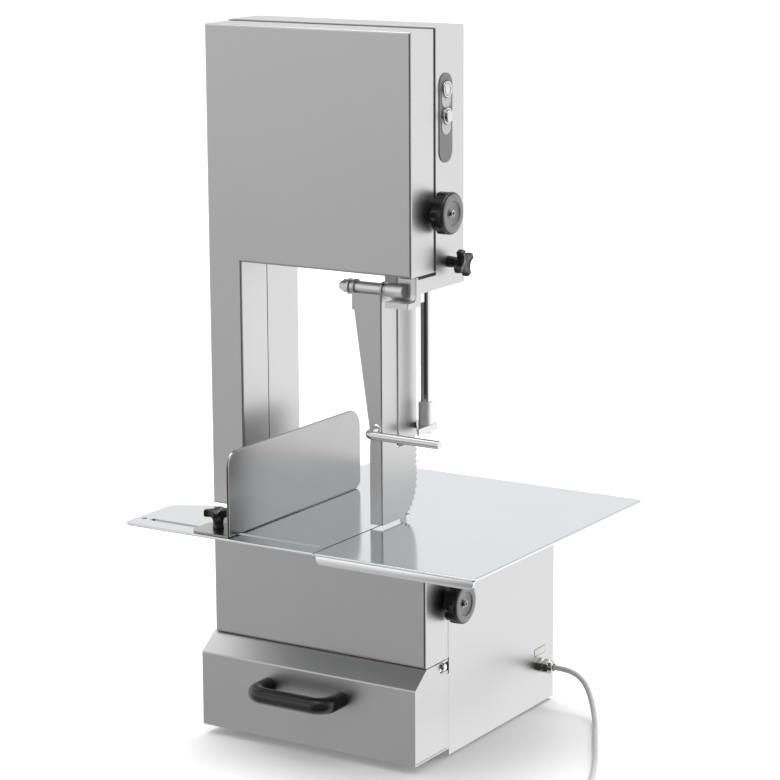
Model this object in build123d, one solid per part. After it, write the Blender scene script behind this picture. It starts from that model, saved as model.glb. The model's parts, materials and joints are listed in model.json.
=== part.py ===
from build123d import *
import math
import os

# Table-top butcher's band saw.  Millimetres, +Z up, +X towards the switches.
# Drawn from a datum at the doors' left face (X), the doors' front face (Y)
# and the underside of the base (Z), then moved to the frame used outside.

# ---------------------------------------------------------------- dimensions
SHEET = 2.0                 # stainless sheet of cases and doors
BEND = 3.0                  # outside radius of a folded edge
CASE_LEFT = -4.5            # left face of the rear cases
CASE_RIGHT = 315.0          # right face of the upper case and its door
BASE_RIGHT = 334.7          # right face of the base, lower door and drawer
SEAM = 61.0                 # where the upper door meets the upper case
BASE_SEAM = 60.0            # where the lower door meets the base
CASE_BACK = 134.0
BASE_BACK = 350.6
COLUMN_RIGHT = 52.3
COLUMN_BACK = 136.0
CASE_BOTTOM = 645.0
CASE_TOP = 961.5
DOOR_BOTTOM = 649.3
DOOR_TOP = 960.0
STRIP_BOTTOM = 315.6        # foot of the door's column strip, above the table
BASE_TOP = 296.0
LOWER_DOOR_BOTTOM = 135.0
LOWER_DOOR_TOP = 292.0
GASKET = 1.6
FOOT_HEIGHT = 5.0

TABLE_TOP = 312.9
TABLE_THICK = 3.0
TABLE_LEFT = -49.7
TABLE_RIGHT = 487.8
TABLE_FRONT = -137.4
TABLE_BACK = 320.2
BLADE_X = 252.0
SLOT_WIDTH = 2.2
FENCE_SLOT_Y = -106.0
FENCE_SLOT_WIDTH = 9.0

WHEEL_X = 139.6
WHEEL_R = 112.5
WHEEL_HIGH = 814.6
WHEEL_LOW = 158.0
WHEEL_FRONT = 71.0
WHEEL_BACK = 88.0
FLANGE_BACK = 91.0
FLANGE_R = 116.0
BLADE_THICK = 0.6
BLADE_FRONT = 71.0
BLADE_REAR = 87.0
BLADE_GAP = 0.3             # clearance between the band and the wheel rims

HINGE_X = -10.5
HINGE_Y = 61.0
HINGE_R = 4.0
PIN_R = 2.0
RUN = 0.05                  # radial running clearance

POST_X = 279.0
POST_Y = 95.0
POST_R = 7.0
CLAMP_Z = 658.0
CLAMP_SCREW_R = 4.0
PIVOT_Y = 17.5
PIVOT_Z = 628.5
SLEEVE_R = 8.0
SHAFT_R = 5.0
PUSHER_X = 265.0            # outer face of the pusher's side plate
PUSHER_SHEET = 2.5
PUSHER_FRONT = 8.5
PUSHER_LOW = 317.0
PUSHER_HIGH = 622.5         # top of the pusher's web, under its sleeve
PUSHER_LEFT = 220.0         # the web's left edge at its top
PUSHER_SHELF = 414.5        # where the side plate widens
GUARD_LEFT = 242.0
GUARD_RIGHT = 262.0
GUARD_FRONT = 54.0
GUARD_LOW = 421.0
GUARD_HIGH = 758.0
HOOK_LIP = (610.0, 617.5)   # Z range of the hook's forward lip
HOOK_FRONT = -7.0
HOOK_WALL = 13.0            # front of the hook's upright part
HOOK_TOP = 648.0
HOOK_BACK_LOW = 626.3       # lower edge of the side wall behind the hook
BRACKET_LEFT = 306.5        # inner face of the thick plate behind the hook
FENCE_X = 120.0
FENCE_SHEET = 2.5
HANDLE_LEFT = 104.0
HANDLE_RIGHT = 219.5
HANDLE_Z = 82.0
BUTTON_Y = 85.0
BUTTON_Z = (882.0, 848.0)   # start above, stop below
BUTTON_HOLE_R = 8.2
PANEL_THICK = 1.2
BEZEL_FACE = 4.5            # how far the bezels stand off the case
LOCK_STUD_R = 4.0
LOCK_HOLE_R = 7.0
RETURN_WIDTH = 14.0         # folded returns at the sides of the base's opening
GLAND_Y = 310.0
GLAND_Z = 56.0
CORD_R = 3.8
COIL_X = 600.0
COIL_Y = -35.0
COIL_MEAN = 46.0            # radius of the outer turns' centre line

SHIFT = Location((
    -(TABLE_LEFT + TABLE_RIGHT) / 2,
    -(TABLE_FRONT + BASE_BACK) / 2,
    FOOT_HEIGHT,
))

os.makedirs("parts", exist_ok=True)


# ------------------------------------------------------------------- helpers
def block(x0, x1, y0, y1, z0, z1):
    """A box between two corners."""
    return Pos(x0, y0, z0) * Box(x1 - x0, y1 - y0, z1 - z0, align=(Align.MIN,) * 3)


def rod(axis, centre, start, end, radius):
    """A cylinder along X, Y or Z.  centre holds its other two coordinates."""
    a, b = centre
    length = end - start
    body = Cylinder(radius, length, align=(Align.CENTER, Align.CENTER, Align.MIN))
    if axis == "X":
        return Location((start, a, b), (0, 90, 0)) * body
    if axis == "Y":
        return Location((a, start, b), (-90, 0, 0)) * body
    return Pos(a, b, start) * body


def ring(axis, centre, start, end, outer, inner):
    return rod(axis, centre, start, end, outer) - rod(axis, centre, start - 1, end + 1, inner)


def profile(plane, points):
    return make_face(plane * Polyline(*points, close=True))


def side_plate(points, x0, x1):
    """A (y, z) outline extruded from x0 to x1."""
    plane = Plane(origin=(x0, 0, 0), x_dir=(0, 1, 0), z_dir=(1, 0, 0))
    return extrude(profile(plane, points), x1 - x0, dir=(1, 0, 0))


def front_plate(points, y0, y1):
    """An (x, z) outline extruded from y0 to y1."""
    plane = Plane(origin=(0, y1, 0), x_dir=(1, 0, 0), z_dir=(0, -1, 0))
    return extrude(profile(plane, points), y1 - y0, dir=(0, -1, 0))


def flat_plate(points, z0, z1):
    """An (x, y) outline extruded from z0 to z1."""
    return extrude(profile(Plane.XY.offset(z0), points), z1 - z0, dir=(0, 0, 1))


def edges_at(shape, axis, value, tol=0.01):
    """Edges that lie wholly at one value of an axis."""
    pick = {"X": 0, "Y": 1, "Z": 2}[axis]
    found = []
    for edge in shape.edges():
        ends = [tuple(v)[pick] for v in (edge @ 0, edge @ 0.5, edge @ 1)]
        if all(abs(e - value) < tol for e in ends):
            found.append(edge)
    return found


def edges_along(shape, direction, x=None, y=None, z=None, tol=0.02):
    """Straight edges along an axis whose centre has the given coordinates."""
    found = []
    for edge in shape.edges().filter_by(direction):
        c = edge @ 0.5
        if x is not None and abs(c.X - x) > tol:
            continue
        if y is not None and abs(c.Y - y) > tol:
            continue
        if z is not None and abs(c.Z - z) > tol:
            continue
        found.append(edge)
    return found


def hexagon(axis, centre, start, end, across):
    """A hexagonal prism; across is the distance over its flats."""
    a, b = centre
    sketch = RegularPolygon(across / 2, 6, major_radius=False)
    body = extrude(sketch, end - start)
    if axis == "X":
        return Location((start, a, b), (0, 90, 0)) * body
    if axis == "Y":
        return Location((a, start, b), (-90, 0, 0)) * body
    return Pos(a, b, start) * body


def inset(points, distance):
    """The points of a rectilinear outline, moved inwards; listed anticlockwise."""
    count = len(points)
    moved = []
    for i, (x, z) in enumerate(points):
        px, pz = points[i - 1]
        nx, nz = points[(i + 1) % count]
        for ax, az, bx, bz in ((px, pz, x, z), (x, z, nx, nz)):
            length = math.hypot(bx - ax, bz - az)
            x -= (bz - az) / length * distance
            z += (bx - ax) / length * distance
        moved.append((x, z))
    return moved


def folded_door(points, depth):
    """A tray of sheet, open at the back, with its front edges folded."""
    outer = front_plate(points, 0, depth)
    outer = fillet(edges_at(outer, "Y", 0), BEND)
    inner = front_plate(inset(points, SHEET), SHEET, depth + 1)
    inner = fillet(edges_at(inner, "Y", SHEET), 1.0)
    return outer - inner


def save(name, *shapes):
    solids = []
    for shape in shapes:
        solids.extend((SHIFT * shape).solids())
    shape = solids[0] if len(solids) == 1 else Compound(children=solids)
    shape.label = name
    export_step(shape, f"parts/{name}.step")


UPPER_DOOR_OUTLINE = [
    (0, STRIP_BOTTOM),
    (COLUMN_RIGHT, STRIP_BOTTOM),
    (COLUMN_RIGHT, DOOR_BOTTOM),
    (CASE_RIGHT, DOOR_BOTTOM),
    (CASE_RIGHT, DOOR_TOP),
    (0, DOOR_TOP),
]
LOWER_DOOR_OUTLINE = [
    (0, LOWER_DOOR_BOTTOM),
    (BASE_RIGHT, LOWER_DOOR_BOTTOM),
    (BASE_RIGHT, LOWER_DOOR_TOP),
    (0, LOWER_DOOR_TOP),
]
UPPER_LOCK = (SEAM - 0.3, 727.0)
LOWER_LOCK = (BASE_SEAM - 0.3, 213.0)
GUARD_NOTCH = (GUARD_LEFT - 5, GUARD_RIGHT + 5)     # X range that the blade guard passes through
WHEEL_AXIS_HIGH = (WHEEL_X, WHEEL_HIGH)
WHEEL_AXIS_LOW = (WHEEL_X, WHEEL_LOW)


# ------------------------------------------------------------ cases and base
def upper_case():
    """The case round the upper wheel: back, sides, top and bottom, open in front."""
    outer = block(CASE_LEFT, CASE_RIGHT, SEAM, CASE_BACK, CASE_BOTTOM, CASE_TOP)
    outer = fillet(
        edges_along(outer, Axis.X, y=CASE_BACK) + edges_along(outer, Axis.Z, y=CASE_BACK), BEND
    )
    case = outer - block(
        CASE_LEFT + SHEET, CASE_RIGHT - SHEET, SEAM - 1, CASE_BACK - SHEET,
        CASE_BOTTOM + SHEET, CASE_TOP - SHEET,
    )
    case -= block(CASE_LEFT + SHEET, COLUMN_RIGHT - SHEET, SEAM - 1, CASE_BACK - SHEET,
                  CASE_BOTTOM - 1, CASE_BOTTOM + SHEET + 1)
    case -= block(*GUARD_NOTCH, SEAM - 1, 104, CASE_BOTTOM - 1, CASE_BOTTOM + SHEET + 1)
    case -= rod("Z", (POST_X, POST_Y), CASE_BOTTOM - 1, CASE_BOTTOM + SHEET + 1, POST_R + 1.75)
    case += side_plate(hook_outline(CASE_BACK - 0.1), CASE_RIGHT - SHEET, CASE_RIGHT)
    case -= rod("X", UPPER_LOCK, CASE_RIGHT - 5, CASE_RIGHT + 5, LOCK_HOLE_R)
    case -= rod("X", (POST_Y, CLAMP_Z), CASE_RIGHT - 5, CASE_RIGHT + 5, CLAMP_SCREW_R + 0.2)
    return case - panel_holes()


def hook_outline(back):
    """The side wall's lower edge, which runs forward under the door as a hook."""
    lip_low, lip_high = HOOK_LIP
    bend, step = 8.0, 15
    arc = []
    for turn in range(0, 91, step):
        angle = math.radians(turn)
        y = HOOK_WALL - bend + bend * math.sin(angle)
        arc.append((y, lip_high + bend * (1 - math.cos(angle))))
    return [
        (back, CASE_BOTTOM + 1), (back, HOOK_BACK_LOW), (HOOK_WALL + 10, HOOK_BACK_LOW),
        (HOOK_WALL + 10, lip_low), (HOOK_FRONT, lip_low), (HOOK_FRONT, lip_high), *arc,
        (HOOK_WALL, HOOK_TOP), (HOOK_WALL + 4, HOOK_TOP), (HOOK_WALL + 4, CASE_BOTTOM),
        (SEAM, CASE_BOTTOM), (SEAM, CASE_BOTTOM + 1),
    ]


def panel_holes():
    """Where the two push buttons pass through the case and its panel."""
    holes = []
    for z in BUTTON_Z:
        holes.append(rod("X", (BUTTON_Y, z), CASE_RIGHT - 5, CASE_RIGHT + 5, BUTTON_HOLE_R))
    return Compound(children=holes)


def column_case():
    """The channel that carries the upper case and encloses the band's return run."""
    outer = block(CASE_LEFT, COLUMN_RIGHT, SEAM, COLUMN_BACK, BASE_TOP, CASE_BOTTOM)
    outer = fillet(edges_along(outer, Axis.Z, y=COLUMN_BACK), BEND)
    return outer - block(CASE_LEFT + SHEET, COLUMN_RIGHT - SHEET, SEAM - 1,
                         COLUMN_BACK - SHEET, BASE_TOP - 1, CASE_BOTTOM + 1)


SHELL_BACK = BASE_BACK - 3.2
RAIL_SPANS = ((126, 142), (284, BASE_TOP))      # cross rails below and above the lower door
GLAND_HOLE_R = 8.2


def base_housing():
    """Sides and top of the base, with folded returns round its front opening."""
    left = block(CASE_LEFT, CASE_LEFT + SHEET, BASE_SEAM, SHELL_BACK, 0, BASE_TOP)
    right = block(BASE_RIGHT - SHEET, BASE_RIGHT, BASE_SEAM, SHELL_BACK, 0, BASE_TOP)
    top = block(CASE_LEFT, BASE_RIGHT, BASE_SEAM, SHELL_BACK, BASE_TOP - SHEET, BASE_TOP)
    shell = left + right + top
    for x0 in (CASE_LEFT, BASE_RIGHT - RETURN_WIDTH):
        shell += block(x0, x0 + RETURN_WIDTH, BASE_SEAM, BASE_SEAM + SHEET, 0, BASE_TOP)
    for z0, z1 in RAIL_SPANS:
        shell += block(CASE_LEFT, BASE_RIGHT, BASE_SEAM, BASE_SEAM + SHEET, z0, z1)
    shell -= block(CASE_LEFT + SHEET, COLUMN_RIGHT - SHEET, SEAM + 1, COLUMN_BACK - SHEET,
                   BASE_TOP - 3, BASE_TOP + 1)
    shell -= block(BLADE_X - 12, BLADE_X + 12, 64, 104, BASE_TOP - 3, BASE_TOP + 1)
    shell -= rod("X", LOWER_LOCK, BASE_RIGHT - 20, BASE_RIGHT + 5, LOCK_HOLE_R)
    return shell - rod("X", (GLAND_Y, GLAND_Z), BASE_RIGHT - 5, BASE_RIGHT + 5, GLAND_HOLE_R)


def base_plate():
    return block(CASE_LEFT + SHEET, BASE_RIGHT - SHEET, BASE_SEAM + SHEET, SHELL_BACK, 0, SHEET)


FOOT_PLACES = [(x, y) for x in (40, 290) for y in (105, 310)]
FOOT_R = 18.0


def rubber_feet():
    feet = []
    for x, y in FOOT_PLACES:
        foot = rod("Z", (x, y), -FOOT_HEIGHT, 0, FOOT_R)
        feet.append(fillet(edges_at(foot, "Z", -FOOT_HEIGHT), 1.5))
    return feet


PANEL_BACK = BASE_BACK - 1.2


def rear_panel():
    """The motor compartment's back cover, with rows of cooling slots."""
    panel = block(CASE_LEFT, BASE_RIGHT, PANEL_BACK - SHEET, PANEL_BACK, 0, BASE_TOP)
    half_length, slot_height, pitch, lowest = 25, 5, 16, 150
    for row in range(5):
        for x in (95, 165, 235):
            z = lowest + pitch * row
            slot = block(x - half_length, x + half_length, PANEL_BACK - 5, PANEL_BACK + 1,
                         z, z + slot_height)
            panel -= fillet(edges_along(slot, Axis.Y), slot_height / 2 - 0.1)
    return panel


def rear_panel_screws():
    head_r = 4.5
    screws = []
    for x in (8, 165, 322):
        for z in (12, 284):
            screws.append(rod("Y", (x, z), PANEL_BACK, BASE_BACK, head_r))
    return screws


PARTITION = (139.0, 143.0)      # Y range of the plate that carries the gear motor
GEARBOX_BACK = 214.0
DRIVE_R = 12.5


def partition_plate():
    """The upright plate behind the lower wheel that carries the gear motor."""
    front, back = PARTITION
    plate = block(CASE_LEFT + SHEET, BASE_RIGHT - SHEET, front, back, SHEET, BASE_TOP - SHEET)
    return plate - rod("Y", WHEEL_AXIS_LOW, front - 1, back + 1, 26)


def gearbox():
    half, back = 62, PARTITION[1]
    body = block(WHEEL_X - half, WHEEL_X + half, back, GEARBOX_BACK,
                 WHEEL_LOW - half, WHEEL_LOW + half)
    body = fillet(edges_along(body, Axis.Y), 14)
    boss = rod("Y", WHEEL_AXIS_LOW, PARTITION[0] - 0.5, back, 24)
    return (body + boss) - rod("Y", WHEEL_AXIS_LOW, PARTITION[0] - 9, 196, DRIVE_R + RUN)


def motor():
    """A finned can with a fan cowl at its back."""
    can_r, can_back, cowl_back, fins = 58, 322, 342, 12
    can = rod("Y", WHEEL_AXIS_LOW, GEARBOX_BACK, can_back, can_r)
    for k in range(fins):
        fin = block(can_r - 1, can_r + 6, GEARBOX_BACK + 8, can_back - 22, -2, 2)
        can += Location((WHEEL_X, 0, WHEEL_LOW), (0, 360 / fins * k, 0)) * fin
    return can + rod("Y", WHEEL_AXIS_LOW, can_back, cowl_back, can_r + 4)


def control_box():
    box = block(296, BASE_RIGHT - SHEET, 190, 300, 168, 262)
    return fillet(edges_along(box, Axis.X), 4)


# ------------------------------------------------------------- doors, hinges
def upper_door():
    door = folded_door(UPPER_DOOR_OUTLINE, SEAM - GASKET)
    door -= block(*GUARD_NOTCH, 50, SEAM + 1, DOOR_BOTTOM - 1, DOOR_BOTTOM + SHEET + 1)
    return door - lock_notch(UPPER_LOCK, CASE_RIGHT)


def lower_door():
    door = folded_door(LOWER_DOOR_OUTLINE, BASE_SEAM - GASKET)
    return door - lock_notch(LOWER_LOCK, BASE_RIGHT)


def lock_notch(lock, face):
    """An open slot in the door's side, which lets it swing clear of the lock stud."""
    y, z = lock
    hole = rod("X", lock, face - 3, face + 3, LOCK_HOLE_R)
    return hole + block(face - 3, face + 3, y, y + 9, z - LOCK_HOLE_R, z + LOCK_HOLE_R)


def gaskets():
    """Rubber strips between the doors and the cases, and under the upper door."""
    strips = []
    for outline, seam in ((UPPER_DOOR_OUTLINE, SEAM), (LOWER_DOOR_OUTLINE, BASE_SEAM)):
        outer = front_plate(inset(outline, 0.8), seam - GASKET, seam)
        strip = outer - front_plate(inset(outline, 9), seam - 5, seam + 5)
        strips.append(strip)
    upper, lower = strips
    upper -= block(*GUARD_NOTCH, 50, 70, DOOR_BOTTOM - 1, DOOR_BOTTOM + 12)
    upper -= rod("X", UPPER_LOCK, CASE_RIGHT - 30, CASE_RIGHT + 5, LOCK_HOLE_R)
    lower -= rod("X", LOWER_LOCK, BASE_RIGHT - 30, BASE_RIGHT + 5, LOCK_HOLE_R)
    under = block(305, CASE_RIGHT - 0.6, HOOK_WALL + 4.4, SEAM - GASKET,
                  CASE_BOTTOM, DOOR_BOTTOM - 0.5)
    return upper, lower, under


HINGE_SPANS = ((380.0, 440.0), (840.0, 900.0), (150.0, 200.0), (226.0, 276.0))
KNUCKLE_GAP = 0.3
LEAF_THICK = 2.0


def fixed_hinges():
    """Leaves on the rear cases, each with the two outer knuckles."""
    leaves = []
    arm_front, leaf_front, leaf_back = 63, 66, 96
    for low, high in HINGE_SPANS:
        third = (high - low) / 3
        leaf = block(CASE_LEFT - LEAF_THICK, CASE_LEFT, leaf_front, leaf_back, low, high)
        for z0, z1 in ((low, low + third), (high - third, high)):
            leaf += block(HINGE_X, CASE_LEFT, arm_front, leaf_front, z0, z1)
            leaf += rod("Z", (HINGE_X, HINGE_Y), z0, z1, HINGE_R)
        leaf -= rod("Z", (HINGE_X, HINGE_Y), low - 1, high + 1, PIN_R)
        leaves.append(leaf)
    return leaves


def door_hinges(spans):
    """Leaves on a door's left side, each with the middle knuckle."""
    leaves = []
    leaf_front, leaf_back, arm_back = 24, 55, 58.4
    for low, high in spans:
        third = (high - low) / 3
        z0, z1 = low + third + KNUCKLE_GAP, high - third - KNUCKLE_GAP
        leaf = block(-LEAF_THICK, 0, leaf_front, leaf_back, low, high)
        leaf += block(HINGE_X, 0, leaf_back, arm_back, z0, z1)
        leaf += rod("Z", (HINGE_X, HINGE_Y), z0, z1, HINGE_R)
        leaf -= rod("Z", (HINGE_X, HINGE_Y), z0 - 1, z1 + 1, PIN_R + RUN)
        leaves.append(leaf)
    return leaves


def hinge_pins():
    return [rod("Z", (HINGE_X, HINGE_Y), low, high, PIN_R) for low, high in HINGE_SPANS]


def lock_blocks():
    """Blocks inside the walls, each holding the threaded stud of a door knob."""
    front, back, half_height, depth = 64.2, 84, 14, 12
    made = []
    for (y, z), face in ((UPPER_LOCK, CASE_RIGHT), (LOWER_LOCK, BASE_RIGHT)):
        wall = face - SHEET
        seat = block(wall - depth, wall, front, back, z - half_height, z + half_height)
        tongue = block(wall - depth, wall - 1.5, y - 6, front, z - 6, z + 6)
        stud = rod("X", (y, z), wall - 1.5, face + 16, LOCK_STUD_R)
        made.append(seat + tongue + stud)
    return made


KNOB_R = 27.5
KNOB_LOBES = 9
KNOB_NECK = (0.4, 6.0)      # stands off the door, then the head begins
KNOB_FACE = 26.0
KNOB_RECESS = 22.0          # depth at which the face insert sits
INSERT_R = 25.0
DISH_R = 15.6              # the hollow in the insert, at its rim
DISH_DEPTH = 4.0


def lock_knob(lock, face):
    """A lobed knob on its stud, with a smaller neck towards the door."""
    gap, shoulder = KNOB_NECK
    neck = rod("X", lock, face + gap, face + shoulder, 15)
    head = rod("X", lock, face + shoulder, face + KNOB_FACE, KNOB_R)
    y, z = lock
    flute_r, away = 6.0, KNOB_R + 3.6
    for k in range(KNOB_LOBES):
        angle = math.radians(360 / KNOB_LOBES * k)
        place = (y + away * math.cos(angle), z + away * math.sin(angle))
        head -= rod("X", place, face + shoulder - 1, face + KNOB_RECESS - 1, flute_r)
    head = head - ring("X", lock, face + KNOB_FACE - 2, face + 30, 60, KNOB_R - 0.8)
    knob = neck + head - rod("X", lock, face - 1, face + 16.5, LOCK_STUD_R + RUN)
    return knob - rod("X", lock, face + KNOB_RECESS, face + 30, INSERT_R)


def lock_cap(lock, face):
    """The grey face insert, dished round its nut."""
    y, z = lock
    front = face + KNOB_FACE + 1
    cap = rod("X", lock, face + KNOB_RECESS, front, INSERT_R - 0.1)
    ball_r = (DISH_R ** 2 + DISH_DEPTH ** 2) / (2 * DISH_DEPTH)
    dish = Location((front - DISH_DEPTH + ball_r, y, z)) * Sphere(ball_r)
    nut = hexagon("X", lock, face + KNOB_RECESS, front - 1.5, 8)
    return (cap - dish) + nut


# -------------------------------------------------------------- moving wheels
HUB_R = 27.0
BEARING_R = 17.5
AXLE_R = 10.0


def band_wheel(axis_z):
    """A spoked wheel with a flange behind the band; the hub's bore is for its shaft."""
    axis = (WHEEL_X, axis_z)
    web_front, web_back, hub_front, hub_back = 78, 86, 69, 96
    inner = WHEEL_R - 9
    wheel = ring("Y", axis, WHEEL_FRONT, WHEEL_BACK, WHEEL_R, inner)
    wheel += ring("Y", axis, WHEEL_BACK, FLANGE_BACK, FLANGE_R, inner)
    wheel += rod("Y", axis, web_front, web_back, WHEEL_R - 5)
    wheel += rod("Y", axis, hub_front, hub_back, HUB_R)
    holes, hole_r, away = 5, 21, 65
    for k in range(holes):
        angle = math.radians(360 / holes * k + 18)
        place = (WHEEL_X + away * math.cos(angle), axis_z + away * math.sin(angle))
        wheel -= rod("Y", place, hub_front + 1, hub_back - 1, hole_r)
    return wheel


def upper_wheel():
    return band_wheel(WHEEL_HIGH) - rod("Y", WHEEL_AXIS_HIGH, 60, 110, BEARING_R)


def upper_bearings():
    """Two ball races pressed in the wheel's hub."""
    races = []
    for y0, y1 in ((71, 80), (85, 94)):
        races.append(ring("Y", WHEEL_AXIS_HIGH, y0, y1, BEARING_R, AXLE_R + RUN))
    return races


def lower_wheel():
    return band_wheel(WHEEL_LOW) - rod("Y", WHEEL_AXIS_LOW, 60, 110, DRIVE_R)


def drive_shaft():
    shaft = rod("Y", WHEEL_AXIS_LOW, 69, 190, DRIVE_R)
    return shaft + hexagon("Y", WHEEL_AXIS_LOW, 62, 69, 30)


def blade():
    """The endless band, one strip round both wheels."""
    inner = WHEEL_R + BLADE_GAP

    def loop(radius, y0, y1):
        top = rod("Y", WHEEL_AXIS_HIGH, y0, y1, radius)
        low = rod("Y", WHEEL_AXIS_LOW, y0, y1, radius)
        return top + low + block(WHEEL_X - radius, WHEEL_X + radius, y0, y1, WHEEL_LOW, WHEEL_HIGH)

    return loop(inner + BLADE_THICK, BLADE_FRONT, BLADE_REAR) - loop(inner, 60, 100)


BLADE_EDGE = WHEEL_X + WHEEL_R + BLADE_GAP + BLADE_THICK / 2
SLIDE_LOW, SLIDE_HIGH = 786.0, 846.0
SLIDE_HALF = 32.0           # half the slide's width
SLIDE_FRONT = 106.0
SCREW_PLACE = (WHEEL_X, 117.0)
SCREW_R = 6.0
BRIDGE = (900.0, 912.0)     # Z range of the bridge that the tension screw turns in


def tension_slide():
    """The sliding block that carries the upper wheel's axle."""
    body = block(WHEEL_X - SLIDE_HALF, WHEEL_X + SLIDE_HALF, SLIDE_FRONT, 127.6,
                 SLIDE_LOW, SLIDE_HIGH)
    return body - rod("Z", SCREW_PLACE, SLIDE_HIGH - 8, SLIDE_HIGH + 1, SCREW_R + RUN)


def wheel_axle():
    """The upper wheel's axle, with a shoulder behind the hub and a head before it."""
    axle = rod("Y", WHEEL_AXIS_HIGH, 69.5, SLIDE_FRONT, AXLE_R)
    axle += rod("Y", WHEEL_AXIS_HIGH, 98, SLIDE_FRONT, AXLE_R + 6)
    return axle + rod("Y", WHEEL_AXIS_HIGH, 66.5, 69.5, AXLE_R + 3)


def slide_rails():
    """Two rails on the case's back and the bridge that the tension screw turns in."""
    back = CASE_BACK - SHEET
    rail_gap, rail_edge, rail_front, rail_low = SLIDE_HALF + 0.2, 44, 112, 745
    low, high = BRIDGE
    rails = block(WHEEL_X - rail_edge, WHEEL_X - rail_gap, rail_front, back, rail_low, low)
    rails += block(WHEEL_X + rail_gap, WHEEL_X + rail_edge, rail_front, back, rail_low, low)
    rails += block(WHEEL_X - rail_edge, WHEEL_X + rail_edge, rail_front - 8, back, low, high)
    return rails - rod("Z", SCREW_PLACE, low - 1, high + 1, SCREW_R + RUN)


def tension_screw():
    screw = rod("Z", SCREW_PLACE, SLIDE_HIGH - 7.5, 930, SCREW_R)
    return screw + ring("Z", SCREW_PLACE, BRIDGE[0] - 4, BRIDGE[0] - 0.5, SCREW_R + 3, SCREW_R - 1)


def tension_knob():
    low, high, flutes, away = 912.4, 932, 6, 17
    knob = rod("Z", SCREW_PLACE, low, high, 14)
    for k in range(flutes):
        angle = math.radians(360 / flutes * k)
        place = (WHEEL_X + away * math.cos(angle), SCREW_PLACE[1] + away * math.sin(angle))
        knob -= rod("Z", place, low - 1, high + 1, 5)
    return knob - rod("Z", SCREW_PLACE, low - 1, high - 2, SCREW_R)


# ------------------------------------------------------- guard, post, guides
GUARD_BACK = 100.0
GUARD_LIP_BACK = 64.0
ARM_LOW, ARM_HIGH = 430.5, 439.0        # Z range of the bracket that joins guard and post
SCREW_SHANK_R = 4.0
BLADE_EDGE = WHEEL_X + WHEEL_R + BLADE_GAP + BLADE_THICK / 2


def blade_guard():
    """A folded channel in front of and beside the band, with a short left lip."""
    inner_front, inner_left = GUARD_FRONT + SHEET, GUARD_LEFT + SHEET
    inner_right = GUARD_RIGHT - SHEET
    points = [
        (GUARD_LEFT, GUARD_FRONT), (GUARD_RIGHT, GUARD_FRONT), (GUARD_RIGHT, GUARD_BACK),
        (inner_right, GUARD_BACK), (inner_right, inner_front), (inner_left, inner_front),
        (inner_left, GUARD_LIP_BACK), (GUARD_LEFT, GUARD_LIP_BACK),
    ]
    guard = flat_plate(points, GUARD_LOW, GUARD_HIGH)
    return fillet(edges_along(guard, Axis.Z, x=GUARD_RIGHT, y=GUARD_FRONT), 3)


def guard_bracket():
    """A thick plate from the guard's back edge, cut off at a slant beside the guard."""
    right, left, back = 290, GUARD_LEFT + 4, 107
    points = [
        (left, GUARD_BACK), (GUARD_RIGHT, GUARD_BACK), (GUARD_RIGHT, GUARD_BACK - 3),
        (right, 55.5), (right, back), (left, back),
    ]
    plate = flat_plate(points, ARM_LOW, ARM_HIGH)
    plate = fillet(edges_along(plate, Axis.Z, x=right), 1.2)
    return plate - rod("Z", (POST_X, POST_Y), ARM_LOW - 1, ARM_HIGH + 1, SCREW_SHANK_R)


def guide_post():
    """The polished post, with a threaded shank through the bracket."""
    top = 760
    post = rod("Z", (POST_X, POST_Y), ARM_HIGH, top, POST_R)
    post += rod("Z", (POST_X, POST_Y), ARM_LOW - 4.5, ARM_HIGH, SCREW_SHANK_R)
    return chamfer(edges_at(post, "Z", top), 1)


def post_collar():
    return ring("Z", (POST_X, POST_Y), ARM_HIGH, 468.5, 10, POST_R)


def post_nut():
    nut = hexagon("Z", (POST_X, POST_Y), ARM_LOW - 4, ARM_LOW, 13)
    return nut - rod("Z", (POST_X, POST_Y), ARM_LOW - 5, ARM_LOW + 1, SCREW_SHANK_R)


def guide_block(y1, z0, z1):
    """A slotted block that steadies the band, closed behind its back edge."""
    body = block(GUARD_LEFT + 3.5, GUARD_RIGHT - SHEET, 66, y1, z0, z1)
    return body - block(BLADE_EDGE - 0.8, BLADE_EDGE + 0.8, 60, BLADE_REAR + 0.6, z0 - 1, z1 + 1)


def upper_blade_guide():
    return guide_block(99, GUARD_LOW - 10, 446)


def lower_blade_guide():
    return guide_block(102, BASE_TOP, TABLE_TOP - TABLE_THICK)


def post_clamp_block():
    """The block in the upper case that the guide post slides in."""
    low, high = CASE_BOTTOM + SHEET, 672
    body = block(264.5, CASE_RIGHT - SHEET, 80, 112, low, high)
    body -= rod("Z", (POST_X, POST_Y), low - 1, high + 1, POST_R + RUN)
    return body - rod("X", (POST_Y, CLAMP_Z), POST_X, CASE_RIGHT, CLAMP_SCREW_R + RUN)


FOUR_LOBE_REACH = 19.0
FOUR_LOBE_NECK = 7.5
CLAMP_TURN = 64.0           # degrees that the clamp knob's arms stand at, from Y towards Z
FENCE_TURN = 25.0           # degrees that the fence knob's arms stand at, from X towards Y


def clamp_knob():
    """A four-lobed knob whose screw bears on the guide post."""
    axis = (POST_Y, CLAMP_Z)
    shoulder = CASE_RIGHT + 16
    knob = rod("X", axis, CASE_RIGHT + 0.6, shoulder, FOUR_LOBE_NECK)
    knob += four_lobes("X", axis, shoulder, shoulder + 11, CLAMP_TURN)
    return knob - rod("X", axis, CASE_RIGHT, CASE_RIGHT + 14, CLAMP_SCREW_R)


def clamp_screw():
    return rod("X", (POST_Y, CLAMP_Z), POST_X + POST_R + 0.3, CASE_RIGHT + 14, CLAMP_SCREW_R)


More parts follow.
